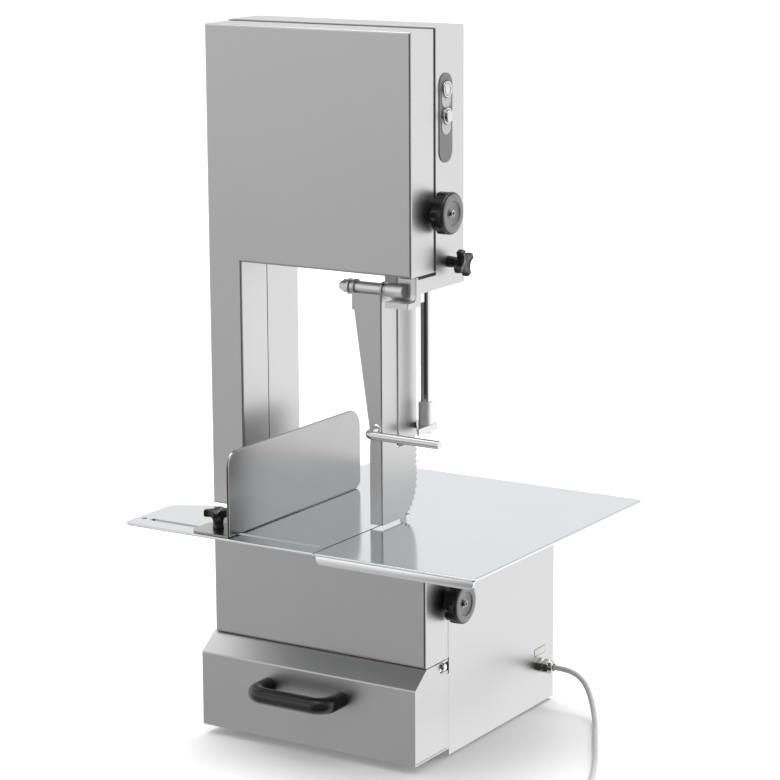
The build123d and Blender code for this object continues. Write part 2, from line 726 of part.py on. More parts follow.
def four_lobes(axis, centre, start, end, turn):
    """A cross of four blunt arms with round hollows between them."""
    a, b = centre
    body = rod(axis, centre, start, end, FOUR_LOBE_REACH)
    hollow_r, away = 12.7, 22.6
    for k in range(4):
        angle = math.radians(turn + 45 + 90 * k)
        place = (a + away * math.cos(angle), b + away * math.sin(angle))
        body -= rod(axis, place, start - 1, end + 1, hollow_r)
    return body


# --------------------------------------------------------------------- pusher
PIVOT = (PIVOT_Y, PIVOT_Z)
EAR_R = 10.5
SLEEVE_LEFT, SLEEVE_RIGHT = 214.0, 269.0
HUB_LEFT, HUB_RIGHT = 278.2, 295.5


def pusher_arm():
    """A folded arm: a tapering front web and a side plate that ends in teeth."""
    left_low, back = PUSHER_X - 19, PUSHER_FRONT + PUSHER_SHEET
    web = front_plate(
        [
            (left_low, PUSHER_LOW), (PUSHER_X, PUSHER_LOW), (PUSHER_X, PUSHER_HIGH),
            (PUSHER_LEFT, PUSHER_HIGH), (left_low + 1, 436), (left_low, 418),
        ],
        PUSHER_FRONT, back,
    )
    web = fillet(edges_along(web, Axis.Z, x=PUSHER_X, y=PUSHER_FRONT), 2.2)
    x0 = PUSHER_X - PUSHER_SHEET
    side = side_plate(toothed_outline(), x0, PUSHER_X) + rod("X", PIVOT, x0, PUSHER_X, EAR_R)
    ear_low, ear_back = 600, PUSHER_FRONT + 17.5
    x1 = PUSHER_LEFT + PUSHER_SHEET
    ear = side_plate(
        [(PUSHER_FRONT, ear_low), (ear_back, ear_low + 12), (ear_back, PIVOT_Z),
         (PUSHER_FRONT, PIVOT_Z)],
        PUSHER_LEFT, x1,
    )
    ear += rod("X", PIVOT, PUSHER_LEFT, x1, EAR_R)
    corner = block(PUSHER_LEFT, x1, PUSHER_FRONT, back, ear_low, PUSHER_HIGH)
    return web + side + ear + corner - rod("X", PIVOT, PUSHER_LEFT - 20, PUSHER_X + 15, SLEEVE_R)


def toothed_outline():
    """The side plate: narrow above, wide and toothed below, its lower corner rounded."""
    back_high, back_low = 44.5, 96.0
    pitch, depth, corner_y, corner_z = 8.0, 4.4, 36.0, 49.5
    count = int((PUSHER_SHELF - PUSHER_LOW - corner_z) / pitch)
    edge = [(back_low - depth, PUSHER_SHELF)]
    for k in range(count):
        z = PUSHER_SHELF - pitch * k
        edge.append((back_low, z - pitch * 0.5))
        edge.append((back_low - depth, z - pitch))
    steps = 8
    centre_y, centre_z = back_low - corner_y, PUSHER_SHELF - pitch * count
    reach_z = centre_z - PUSHER_LOW
    for k in range(steps):
        tip = math.radians(90 / steps * (k + 0.5))
        root = math.radians(90 / steps * (k + 1))
        edge.append((centre_y + corner_y * math.cos(tip), centre_z - reach_z * math.sin(tip)))
        if k < steps - 1:
            inner_y, inner_z = corner_y - depth, reach_z - depth
            edge.append((centre_y + inner_y * math.cos(root), centre_z - inner_z * math.sin(root)))
    front = PUSHER_FRONT + 2
    return [
        (front, PUSHER_LOW), (front, PIVOT_Z), (28, PIVOT_Z), (28, 618),
        (back_high, 606), (back_high, PUSHER_SHELF), *edge, (centre_y, PUSHER_LOW),
    ]


def pusher_sleeve():
    return ring("X", PIVOT, SLEEVE_LEFT, SLEEVE_RIGHT, SLEEVE_R, SHAFT_R + RUN)


def pusher_handle():
    """A round bar that stands off the web and turns to run along X."""
    turn, end, out, root_z, z, bar_r = 256.0, 365.5, -14.0, 445.5, 442.5, 5.5
    path = FilletPolyline(
        (turn, PUSHER_FRONT, root_z), (turn, out, z), (end, out, z - 1), radius=9
    )
    bar = sweep(Plane(origin=path @ 0, z_dir=path % 0) * Circle(bar_r), path=path)
    bar += Plane(origin=path @ 0, z_dir=path % 0) * Cylinder(bar_r, 2)
    bar -= block(turn - 20, turn + 20, PUSHER_FRONT, PUSHER_FRONT + 10, root_z - 20, root_z + 20)
    return bar


def pivot_shaft():
    return rod("X", PIVOT, 199, HUB_RIGHT - 9, SHAFT_R)


def pivot_hub():
    """The fixed boss at the arm's right, with its spacer, on the hook bracket."""
    hub = rod("X", PIVOT, HUB_LEFT, HUB_RIGHT, 9.9)
    hub = chamfer(edges_at(hub, "X", HUB_RIGHT), 0.8)
    hub += rod("X", PIVOT, SLEEVE_RIGHT + 1, HUB_LEFT, 9)
    return hub - rod("X", PIVOT, SLEEVE_RIGHT, HUB_RIGHT - 9, SHAFT_R)


def pivot_nut():
    """An acorn nut and washer on the shaft's left end."""
    washer_left, nut_left, dome_r = SLEEVE_LEFT - 2.4, 203, 7
    washer = rod("X", PIVOT, washer_left, SLEEVE_LEFT - 0.4, EAR_R)
    nut = hexagon("X", PIVOT, nut_left, washer_left, 15)
    dome = Location((nut_left, PIVOT_Y, PIVOT_Z)) * Sphere(dome_r)
    dome -= block(nut_left, nut_left + 20, 0, 40, PIVOT_Z - 20, PIVOT_Z + 20)
    return washer + nut + dome - rod("X", PIVOT, 199, SLEEVE_LEFT, SHAFT_R)


def hook_bracket():
    """The thick plate behind the case's hook, its lip and the strut to the hub."""
    lip_low, lip_high = HOOK_LIP
    lip_left = 280.0
    bracket = side_plate(hook_outline(110), BRACKET_LEFT, CASE_RIGHT - SHEET)
    bracket -= block(BRACKET_LEFT - 1, CASE_RIGHT, HOOK_WALL + 4.2, 120,
                     CASE_BOTTOM - 0.2, CASE_BOTTOM + 5)
    bracket += block(lip_left, BRACKET_LEFT, HOOK_FRONT, HOOK_WALL + 7, lip_low, lip_high)
    bracket += block(lip_left + 3, BRACKET_LEFT, 22, 46, lip_low + 2, CASE_BOTTOM - 1)
    return bracket - rod("X", PIVOT, SLEEVE_RIGHT, HUB_RIGHT + 0.2, 9.95)


# -------------------------------------------------------------- table, fence
TABLE_LOW = TABLE_TOP - TABLE_THICK
NOTCH_RIGHT = COLUMN_RIGHT + 2
NOTCH_FRONT = -3.0
LEFT_BACK = -30.0           # back end of the table's narrow left part


def table():
    """The work table: a flat plate with a notch for the column and a front lip."""
    points = [
        (TABLE_LEFT, TABLE_FRONT), (TABLE_RIGHT, TABLE_FRONT), (TABLE_RIGHT, TABLE_BACK),
        (NOTCH_RIGHT, TABLE_BACK), (NOTCH_RIGHT, NOTCH_FRONT), (-2, NOTCH_FRONT),
        (TABLE_LEFT, LEFT_BACK),
    ]
    plate = flat_plate(points, TABLE_LOW, TABLE_TOP)
    corners = [(TABLE_LEFT, TABLE_FRONT, 14), (TABLE_LEFT, LEFT_BACK, 14), (-2, NOTCH_FRONT, 10),
               (TABLE_RIGHT, TABLE_BACK, 8), (TABLE_RIGHT, TABLE_FRONT, 4)]
    for x, y, radius in corners:
        plate = fillet(edges_along(plate, Axis.Z, x=x, y=y), radius)
    plate = plate + table_lip()
    plate = fillet(edges_along(plate, Axis.X, y=TABLE_FRONT, z=TABLE_TOP), 2.0)
    low, high = TABLE_LOW - 1, TABLE_TOP + 1
    half = FENCE_SLOT_WIDTH / 2
    slot = block(-26, 241, FENCE_SLOT_Y - half, FENCE_SLOT_Y + half, low, high)
    plate -= fillet(edges_along(slot, Axis.Z), half - 0.05)
    plate -= rod("Z", (-36, FENCE_SLOT_Y), low, high, 3.5)
    return plate - block(BLADE_EDGE - SLOT_WIDTH / 2, BLADE_EDGE + SLOT_WIDTH / 2,
                         TABLE_FRONT - 1, 95, low, high)


def table_lip():
    """The front edge's downward fold, right of the blade slot."""
    depth, corner = 11, 8
    lip = block(BLADE_X + 4, TABLE_RIGHT - 2, TABLE_FRONT, TABLE_FRONT + TABLE_THICK,
                TABLE_LOW - depth, TABLE_LOW)
    return fillet(edges_along(lip, Axis.Y, z=TABLE_LOW - depth), corner)


def table_supports():
    feet = []
    for x in (90, 310):
        for y in (80, 300):
            feet.append(rod("Z", (x, y), BASE_TOP, TABLE_LOW, 11))
    return feet


FENCE_LOW = TABLE_TOP + 0.3
FENCE_HIGH = 426.0
FENCE_ENDS = (-133.5, 183.8)
STUD_PLACE = (84.0, FENCE_SLOT_Y)
STUD_R = 3.0
FENCE_KNOB_LOW = FENCE_LOW + FENCE_SHEET + 0.3


def fence_plate():
    """An upright plate folded into a short foot at its front left."""
    front, back = FENCE_ENDS
    upright = block(FENCE_X - FENCE_SHEET, FENCE_X, front, back, FENCE_LOW, FENCE_HIGH)
    for y, z, radius in ((front, FENCE_HIGH, 20), (back, FENCE_HIGH, 26), (back, FENCE_LOW, 12)):
        upright = fillet(edges_along(upright, Axis.X, y=y, z=z), radius)
    foot_left = 56
    foot = block(foot_left, FENCE_X, front, -80, FENCE_LOW, FENCE_LOW + FENCE_SHEET)
    foot = fillet(edges_along(foot, Axis.Z, x=foot_left), 16)
    fence = upright + foot
    fence = fillet(edges_along(fence, Axis.Y, x=FENCE_X, z=FENCE_LOW), 2.2)
    return fence - rod("Z", STUD_PLACE, FENCE_LOW - 10, FENCE_LOW + 10, STUD_R + RUN)


def fence_knob():
    """A four-lobed knob that draws the tee nut up under the table."""
    shoulder = FENCE_KNOB_LOW + 15
    knob = rod("Z", STUD_PLACE, FENCE_KNOB_LOW, shoulder, FOUR_LOBE_NECK)
    knob += four_lobes("Z", STUD_PLACE, shoulder, shoulder + 10, FENCE_TURN)
    return knob - rod("Z", STUD_PLACE, FENCE_KNOB_LOW, FENCE_KNOB_LOW + 12, STUD_R)


def fence_stud():
    return rod("Z", STUD_PLACE, TABLE_LOW - 6.3, FENCE_KNOB_LOW + 12, STUD_R)


def fence_nut():
    """A tee nut: a tongue in the slot and a plate under the table."""
    x, y = STUD_PLACE
    z0 = TABLE_LOW - 0.3
    nut = block(x - 11, x + 11, y - 9, y + 9, z0 - 5, z0)
    nut += block(x - 8, x + 8, y - 4, y + 4, z0, TABLE_TOP - 0.3)
    return nut - rod("Z", STUD_PLACE, z0 - 10, z0 + 10, STUD_R + RUN)


# ------------------------------------------------------------------- switches
def button_panel():
    """A pill-shaped plate round both push buttons."""
    half_width, low, high = 16, 788, 903
    plate = block(CASE_RIGHT, CASE_RIGHT + PANEL_THICK, BUTTON_Y - half_width,
                  BUTTON_Y + half_width, low, high)
    plate = fillet(edges_along(plate, Axis.X), half_width - 0.1)
    return plate - panel_holes()


def button_bezels():
    x0, x1 = CASE_RIGHT + PANEL_THICK, CASE_RIGHT + BEZEL_FACE
    return [ring("X", (BUTTON_Y, z), x0, x1, 11, BUTTON_HOLE_R) for z in BUTTON_Z]


def push_button(z, proud):
    """The moving cap and stem of a push button."""
    face, back = CASE_RIGHT + BEZEL_FACE + proud, CASE_RIGHT - 4
    cap = rod("X", (BUTTON_Y, z), back, face, BUTTON_HOLE_R - 0.2)
    cap = fillet(edges_at(cap, "X", face), 0.8)
    return cap + rod("X", (BUTTON_Y, z), back - 5, back, 3)


def switch_blocks():
    half_width, half_height = 13, 14
    blocks = []
    for z in BUTTON_Z:
        body = block(290, CASE_RIGHT - SHEET, BUTTON_Y - half_width, BUTTON_Y + half_width,
                     z - half_height, z + half_height)
        blocks.append(body - rod("X", (BUTTON_Y, z), 300, CASE_RIGHT, BUTTON_HOLE_R))
    return blocks


def label_pills():
    """Two small raised pads, one below each button."""
    half_width, top, bottom = 9, 13, 20
    x0 = CASE_RIGHT + PANEL_THICK
    pads = []
    for z in BUTTON_Z:
        pad = block(x0, x0 + 0.5, BUTTON_Y - half_width, BUTTON_Y + half_width, z - bottom, z - top)
        pads.append(fillet(edges_along(pad, Axis.X), 3.4))
    return pads


# --------------------------------------------------------------------- drawer
CHEEK_INSET = 0.8
DRAWER_FRONT = -26.0
DRAWER_LOW = 8.8
STUD_Y, STUD_Z = 45.0, 126.0


NOTCH_BACK = BASE_SEAM - 0.6


def drawer_front():
    """The drawer's folded cover: front, sloping top, two cheeks and a bottom."""
    top, brow, crest, top_back = 133.8, 112.0, 3.0, 22.0
    inner = DRAWER_FRONT + SHEET
    skin = side_plate(
        [
            (DRAWER_FRONT, DRAWER_LOW), (NOTCH_BACK, DRAWER_LOW),
            (NOTCH_BACK, DRAWER_LOW + SHEET), (inner, DRAWER_LOW + SHEET), (inner, brow - 0.8),
            (crest + 0.6, top - SHEET), (top_back, top - SHEET), (top_back, top), (crest, top),
            (DRAWER_FRONT, brow),
        ],
        CASE_LEFT, BASE_RIGHT,
    )
    drawer = fillet(edges_along(skin, Axis.X, y=DRAWER_FRONT, z=brow), 3)
    outline = [
        (DRAWER_FRONT + 1, DRAWER_LOW + 1), (NOTCH_BACK, DRAWER_LOW + 1),
        (NOTCH_BACK, top - 0.2), (crest + 1, top - 1), (DRAWER_FRONT + 1, brow - 1),
    ]
    for x0 in (CASE_LEFT + CHEEK_INSET, BASE_RIGHT - CHEEK_INSET - SHEET):
        cheek = side_plate(outline, x0, x0 + SHEET)
        drawer += cheek - block(x0 - 1, x0 + SHEET + 1, STUD_Y - 6.5, NOTCH_BACK + 1,
                                STUD_Z - 8, STUD_Z + 4.5)
    return drawer


def drawer_tray():
    """The sawdust tray, which reaches back under the lower wheel."""
    z0, wall, depth = DRAWER_LOW + SHEET, 1.5, 24
    x0, x1, y0, y1 = 14, 316, -23, 128
    tray = block(x0, x1, y0, y1, z0, z0 + depth)
    return tray - block(x0 + wall, x1 - wall, y0 + wall, y1 - wall, z0 + wall, z0 + depth + 6)


def drawer_handle():
    """A round bridge handle with smoothly curved ends."""
    out, bar_r = -67.0, 11.2
    path = FilletPolyline(
        (HANDLE_LEFT, DRAWER_FRONT, HANDLE_Z), (HANDLE_LEFT, out, HANDLE_Z),
        (HANDLE_RIGHT, out, HANDLE_Z), (HANDLE_RIGHT, DRAWER_FRONT, HANDLE_Z), radius=19,
    )
    return sweep(Plane(origin=path @ 0, z_dir=path % 0) * Circle(bar_r), path=path)


def handle_screws():
    inner = DRAWER_FRONT + SHEET
    return [rod("Y", (x, HANDLE_Z), inner, inner + 3, 5) for x in (HANDLE_LEFT, HANDLE_RIGHT)]


def drawer_studs():
    """Domed studs on ears of the base, which the drawer's notches slide on to."""
    studs = []
    shank_r, dome_r, dome_height = 3, 5.7, 4.1
    for side in (-1, 1):
        outer = BASE_RIGHT if side > 0 else CASE_LEFT
        inner = outer - side * (CHEEK_INSET + SHEET + 0.5)
        x0, x1 = sorted((inner, inner - side * 2))
        ear = block(x0, x1, STUD_Y - 9, BASE_SEAM, STUD_Z - 12, STUD_Z + 5)
        shank = rod("X", (STUD_Y, STUD_Z), *sorted((inner, outer + side * 0.4)), shank_r)
        near, far = outer + side * 0.3, outer + side * dome_height
        dome = rod("X", (STUD_Y, STUD_Z), *sorted((near, far)), dome_r)
        dome = fillet(edges_at(dome, "X", far), 3.5)
        studs.extend((ear + shank, dome - shank))
    return studs


# ----------------------------------------------------------------- gland, cord
GLAND = (GLAND_Y, GLAND_Z)
GLAND_MOUTH = BASE_RIGHT + 23.0
GLAND_R = 8.0


def cable_gland():
    """A metal gland: base hexagon, clamping hexagon and domed mouth."""
    neck, clamp, mouth = BASE_RIGHT + 7, BASE_RIGHT + 8.5, BASE_RIGHT + 17
    flats = 19
    gland = hexagon("X", GLAND, BASE_RIGHT, neck, flats)
    gland += rod("X", GLAND, neck, clamp, GLAND_R + 0.6)
    gland += hexagon("X", GLAND, clamp, mouth, flats)
    dome = rod("X", GLAND, mouth, GLAND_MOUTH, GLAND_R + 0.8)
    gland += fillet(edges_at(dome, "X", GLAND_MOUTH), 3)
    return gland + rod("X", GLAND, BASE_RIGHT - 12, BASE_RIGHT, GLAND_R)


def gland_nut():
    nut = hexagon("X", GLAND, BASE_RIGHT - 8, BASE_RIGHT - SHEET, 22)
    return nut - rod("X", GLAND, BASE_RIGHT - 15, BASE_RIGHT, GLAND_R)


CORD_FLOOR = CORD_R - FOOT_HEIGHT
CORD_ROUTE = [
    (GLAND_MOUTH, GLAND_Y, GLAND_Z), (375, 310, GLAND_Z), (391.5, 309.5, 53),
    (405, 307.5, 45.5), (415, 304, 34.5), (423, 298, 23.5), (431, 289, 13.5), (440, 276, 5.5),
    (450, 259, 0.4), (461, 238, CORD_FLOOR), (478, 205, CORD_FLOOR), (499, 166, CORD_FLOOR),
    (519, 125, CORD_FLOOR), (537, 84, CORD_FLOOR), (551, 44, CORD_FLOOR),
    (556, 4, CORD_FLOOR), (554, COIL_Y, CORD_FLOOR),
]
TAIL_ROUTE = [(567.5, -67.5, CORD_FLOOR), (584, -85.5, CORD_FLOOR), (603, -102, CORD_FLOOR)]


def lead(points, name):
    """A tube of straight runs joined by arcs as large as the runs allow."""
    vectors = [Vector(*p) for p in points]
    radii = []
    for a, b, c in zip(vectors, vectors[1:], vectors[2:]):
        turn = (b - a).get_angle(c - b)
        run = min((b - a).length, (c - b).length)
        radii.append(0.45 * run / math.tan(math.radians(turn / 2)))
    path = FilletPolyline(*points, radius=radii)
    tube = sweep(Plane(origin=path @ 0, z_dir=path % 0) * Circle(CORD_R), path=path)
    drawn = math.pi * CORD_R**2 * path.length
    print(name, "length", round(path.length, 1), "volume ratio", round(tube.volume / drawn, 4))
    print(name, "radii", [round(r) for r in radii])
    return tube


def cord_coil():
    """The outer shape of the put-away turns, three layers of two."""
    low, layers = -FOOT_HEIGHT, 3
    return ring("Z", (COIL_X, COIL_Y), low, low + 2 * CORD_R * layers,
                COIL_MEAN + CORD_R, COIL_MEAN - 3 * CORD_R)


def mains_plug():
    """A round two-pin plug lying beside the coil: sleeve, body and pins."""
    (x0, y0, _), (x1, y1, z1) = TAIL_ROUTE[-2:]
    heading = Vector(x1 - x0, y1 - y0, 0).normalized()
    sleeve_r, sleeve_length, body_r, body_length = 6, 12, 16, 22
    pin_r, pin_length, pin_apart = 2.4, 17, 19
    on_end = (Align.CENTER, Align.CENTER, Align.MIN)
    sleeve = Plane(origin=(x1, y1, z1), z_dir=heading) * Cylinder(
        sleeve_r, sleeve_length, align=on_end)
    middle = Vector(x1, y1, z1 + body_r - CORD_R) + heading * (sleeve_length - 2)
    body_plane = Plane(origin=middle, z_dir=heading, x_dir=(0, 0, 1))
    body = body_plane * Cylinder(body_r, body_length, align=on_end)
    body = fillet(body.edges().filter_by(GeomType.CIRCLE), 3)
    pins = []
    for side in (-1, 1):
        place = body_plane.offset(body_length) * Pos(0, side * pin_apart / 2, 0)
        pins.append(place * Cylinder(pin_r, pin_length, align=on_end))
    return [sleeve + body, *pins]


# ---------------------------------------------------------------------- write
PARTS = {
    "upper_case": [upper_case()],
    "column_case": [column_case()],
    "base_housing": [base_housing()],
    "base_plate": [base_plate()],
    "rubber_feet": rubber_feet(),
    "rear_panel": [rear_panel()],
    "rear_panel_screws": rear_panel_screws(),
    "partition_plate": [partition_plate()],
    "gearbox": [gearbox()],
    "motor": [motor()],
    "control_box": [control_box()],
    "upper_door": [upper_door()],
    "lower_door": [lower_door()],
    "door_gaskets": list(gaskets()),
    "fixed_hinge_leaves": fixed_hinges(),
    "upper_door_hinge_leaves": door_hinges(HINGE_SPANS[:2]),
    "lower_door_hinge_leaves": door_hinges(HINGE_SPANS[2:]),
    "hinge_pins": hinge_pins(),
    "door_lock_studs": lock_blocks(),
    "upper_lock_knob": [lock_knob(UPPER_LOCK, CASE_RIGHT)],
    "upper_lock_cap": [lock_cap(UPPER_LOCK, CASE_RIGHT)],
    "lower_lock_knob": [lock_knob(LOWER_LOCK, BASE_RIGHT)],
    "lower_lock_cap": [lock_cap(LOWER_LOCK, BASE_RIGHT)],
    "upper_wheel": [upper_wheel()],
    "upper_wheel_bearings": upper_bearings(),
    "lower_wheel": [lower_wheel()],
    "drive_shaft": [drive_shaft()],
    "blade": [blade()],
    "tension_slide": [tension_slide()],
    "wheel_axle": [wheel_axle()],
    "slide_rails": [slide_rails()],
    "tension_screw": [tension_screw()],
    "tension_knob": [tension_knob()],
    "blade_guard": [blade_guard()],
    "guard_bracket": [guard_bracket(), post_nut()],
    "guide_post": [guide_post()],
    "post_collar": [post_collar()],
    "upper_blade_guide": [upper_blade_guide()],
    "lower_blade_guide": [lower_blade_guide()],
    "post_clamp_block": [post_clamp_block()],
    "clamp_knob": [clamp_knob(), clamp_screw()],
    "pusher_arm": [pusher_arm()],
    "pusher_sleeve": [pusher_sleeve()],
    "pusher_handle": [pusher_handle()],
    "pivot_shaft": [pivot_shaft(), pivot_nut(), pivot_hub()],
    "hook_bracket": [hook_bracket()],
    "table": [table(), *table_supports()],
    "fence_plate": [fence_plate(), fence_nut()],
    "fence_knob": [fence_knob(), fence_stud()],
    "button_panel": [button_panel(), *button_bezels(), *label_pills(), *switch_blocks()],
    "start_button": [push_button(BUTTON_Z[0], 0.6)],
    "stop_button": [push_button(BUTTON_Z[1], 3.5)],
    "drawer_front": [drawer_front()],
    "drawer_tray": [drawer_tray()],
    "drawer_handle": [drawer_handle(), *handle_screws()],
    "drawer_studs": drawer_studs(),
    "cable_gland": [cable_gland(), gland_nut()],
    "cord_lead": [lead(CORD_ROUTE, "lead"), lead(TAIL_ROUTE, "tail")],
    "cord_coil": [cord_coil()],
    "mains_plug": mains_plug(),
}
print("nodes", len(PARTS))
for part_name, part_solids in PARTS.items():
    save(part_name, *part_solids)
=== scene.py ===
import json
import math

import bmesh
import bpy
from mathutils import Matrix, Vector


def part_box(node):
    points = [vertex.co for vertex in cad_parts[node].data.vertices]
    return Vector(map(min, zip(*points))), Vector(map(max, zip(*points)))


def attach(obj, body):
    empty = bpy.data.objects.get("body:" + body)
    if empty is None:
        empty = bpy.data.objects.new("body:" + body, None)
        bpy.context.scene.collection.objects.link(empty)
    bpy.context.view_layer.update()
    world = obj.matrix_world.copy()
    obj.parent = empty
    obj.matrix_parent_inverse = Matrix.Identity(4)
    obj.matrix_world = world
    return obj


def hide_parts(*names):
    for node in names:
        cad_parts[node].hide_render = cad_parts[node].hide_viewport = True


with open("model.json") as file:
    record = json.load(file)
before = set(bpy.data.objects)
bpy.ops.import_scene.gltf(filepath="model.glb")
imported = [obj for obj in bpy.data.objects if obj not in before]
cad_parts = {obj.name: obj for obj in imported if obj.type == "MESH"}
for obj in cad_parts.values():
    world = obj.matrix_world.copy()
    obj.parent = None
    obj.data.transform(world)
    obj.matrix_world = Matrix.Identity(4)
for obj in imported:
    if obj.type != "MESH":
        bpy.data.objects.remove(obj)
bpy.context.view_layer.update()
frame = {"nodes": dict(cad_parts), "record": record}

DATUM = Vector((-0.21905, -0.1066, 0.005))     # part.py's datum in the row frame
FLOOR_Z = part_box("rubber_feet")[0][2]
MM = 0.001


# ------------------------------------------------------------------ small tools
def low(node):
    return Vector(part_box(node)[0])


def high(node):
    return Vector(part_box(node)[1])


def middle(node):
    return (low(node) + high(node)) / 2


def node_slot(node):
    for part in frame["record"]["subparts"]:
        if part["node"] == node:
            return part["material_slot"]
    raise KeyError(node)


def finish_piece(piece, body, material, smooth=40.0):
    """Gives a new piece its material, its body and its shading."""
    piece.data.materials.clear()
    piece.data.materials.append(material)
    if piece.type == "MESH":
        for polygon in piece.data.polygons:
            polygon.use_smooth = True
        if hasattr(piece.data, "set_sharp_from_angle"):
            piece.data.set_sharp_from_angle(angle=math.radians(smooth))
    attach(piece, body)
    return piece


def new_mesh(name, vertices, faces):
    mesh = bpy.data.meshes.new(name)
    mesh.from_pydata([tuple(v) for v in vertices], [], faces)
    mesh.validate()
    bm = bmesh.new()
    bm.from_mesh(mesh)
    bmesh.ops.remove_doubles(bm, verts=bm.verts, dist=1e-7)
    bmesh.ops.recalc_face_normals(bm, faces=bm.faces)
    bm.to_mesh(mesh)
    bm.free()
    piece = bpy.data.objects.new(name, mesh)
    bpy.context.scene.collection.objects.link(piece)
    return piece


def axis_frame(origin, axis):
    """A matrix whose local Z runs along the axis, from the origin."""
    turn = Vector((0, 0, 1)).rotation_difference(Vector(axis).normalized())
    return Matrix.Translation(Vector(origin)) @ turn.to_matrix().to_4x4()


def rings_to_piece(name, rings, place, closed=True):
    """Skins a list of rings, each a list of points in a local frame, and caps both ends."""
    count = len(rings[0])
    vertices = [place @ Vector(p) for ring in rings for p in ring]
    faces = []
    for i in range(len(rings) - 1):
        for j in range(count):
            a, b = i * count + j, i * count + (j + 1) % count
            faces.append((a, b, b + count, a + count))
    if closed:
        faces.append(tuple(range(count - 1, -1, -1)))
        last = (len(rings) - 1) * count
        faces.append(tuple(range(last, last + count)))
    return new_mesh(name, vertices, faces)


def turned(name, stations, place, outline=None, segments=72, closed=True):
    """A turned piece from (radius, height, share) stations along the local Z.

    The outline gives 1 or less for each angle, and share says how much of it a station takes.
    With closed off, stations that end where they start make an open ring.
    """
    rings = []
    for radius, height, *share in stations:
        part = share[0] if share else 0.0
        ring = []
        for k in range(segments):
            angle = 2 * math.pi * k / segments
            size = radius * (1 - part * (1 - outline(angle))) if outline else radius
            ring.append((size * MM * math.cos(angle), size * MM * math.sin(angle), height * MM))
        rings.append(ring)
    return rings_to_piece(name, rings, place, closed)


def hollowed(radius, count, away, hollow_r, turn=0.0):
    """An outline with round hollows cut in it, as a share of its radius."""
    def outline(angle):
        step = 2 * math.pi / count
        off = (angle - turn) % step
        off = min(off, step - off)
        reach = hollow_r ** 2 - (away * math.sin(off)) ** 2
        if reach <= 0:
            return 1.0
        near = away * math.cos(off) - math.sqrt(reach)
        soft = 0.02 * radius
        blended = -soft * math.log(math.exp(-near / soft) + math.exp(-radius / soft))
        return min(blended / radius, 1.0)
    return outline


def hexagonal(clip):
    """A hexagon as a share of its corner radius, its corners clipped to a circle."""
    def outline(angle):
        off = angle % (math.pi / 3) - math.pi / 6
        return min(math.cos(math.pi / 6) / math.cos(off), clip)
    return outline


def side_label(name, x, centre, half, corner, thick):
    """A thin plate with round corners lying on a face that looks along +X."""
    y, z = centre
    half_y, half_z = half
    ring = []
    for k, (sy, sz) in enumerate(((1, 1), (-1, 1), (-1, -1), (1, -1))):
        for step in range(9):
            angle = math.radians(90 * k + 90 * step / 8)
            ring.append((y + sy * (half_y - corner) + corner * math.cos(angle),
                         z + sz * (half_z - corner) + corner * math.sin(angle)))
    levels = ((0.0, 0.0), (0.0, thick * 0.7), (thick * 0.5, thick))
    rings = []
    for inset, height in levels:
        rings.append([((x + height) * MM,
                       (py - inset * (1 if py > y else -1)) * MM,
                       (pz - inset * (1 if pz > z else -1)) * MM) for py, pz in ring])
    return rings_to_piece(name, rings, Matrix.Translation(DATUM))


def facing_x(x, y, z):
    """A frame at a datum point in mm whose local Z runs along +X."""
    return axis_frame(Vector((x, y, z)) * MM + DATUM, (1, 0, 0))


def in_datum(point):
    """A point of the row frame, in mm from part.py's datum."""
    return (Vector(point) - DATUM) / MM


# -------------------------------------------------------------------- materials
class Nodes:
    """A thin helper round one material's node tree."""

    def __init__(self, name):
        self.material = bpy.data.materials.new(name)
        self.material.use_nodes = True
        self.tree = self.material.node_tree
        self.shader = self.tree.nodes["Principled BSDF"]

    def add(self, kind, **values):
        node = self.tree.nodes.new(kind)
        for key, value in values.items():
            if hasattr(node, key):
                setattr(node, key, value)
            else:
                node.inputs[key].default_value = value
        return node

    def link(self, source, target):
        self.tree.links.new(source, target)

    def set(self, **values):
        for key, value in values.items():
            self.shader.inputs[key.replace("_", " ")].default_value = value

    def position(self, scale):
        """Object coordinates, in metres, stretched by scale."""
        coordinates = self.add("ShaderNodeTexCoord")
        mapping = self.add("ShaderNodeMapping")
        mapping.inputs["Scale"].default_value = scale
        self.link(coordinates.outputs["Object"], mapping.inputs["Vector"])
        return mapping.outputs["Vector"]

    def noise(self, scale, detail=3.0, roughness=0.55, stretch=(1, 1, 1)):
        node = self.add("ShaderNodeTexNoise", Scale=scale, Detail=detail, Roughness=roughness)
        self.link(self.position(stretch), node.inputs["Vector"])
        return node.outputs["Fac"]

    def spread(self, value, low_out, high_out, low_in=0.3, high_in=0.7):
        node = self.add("ShaderNodeMapRange")
        node.inputs["From Min"].default_value = low_in
        node.inputs["From Max"].default_value = high_in
        node.inputs["To Min"].default_value = low_out
        node.inputs["To Max"].default_value = high_out
        self.link(value, node.inputs["Value"])
        return node.outputs["Result"]

    def tint(self, value, dark, light):
        node = self.add("ShaderNodeMix", data_type="RGBA")
        node.inputs["A"].default_value = (*dark, 1)
        node.inputs["B"].default_value = (*light, 1)
        self.link(value, node.inputs["Factor"])
        for socket in node.outputs:
            if socket.type == "RGBA":
                return socket
        raise RuntimeError("no colour output")

    def mix_values(self, first, second, share):
        node = self.add("ShaderNodeMath", operation="MULTIPLY_ADD")
        self.link(second, node.inputs[0])
        node.inputs[1].default_value = share
        self.link(first, node.inputs[2])
        return node.outputs["Value"]

    def bump(self, height, strength, distance):
        node = self.add("ShaderNodeBump", Strength=strength, Distance=distance)
        self.link(height, node.inputs["Height"])
        self.link(node.outputs["Normal"], self.shader.inputs["Normal"])


SMUDGE_SCALE = 7.0       # noise scale of the faint smudges on every steel
GRAIN_SHARE = 0.35       # how much of the grain is added to the smudges


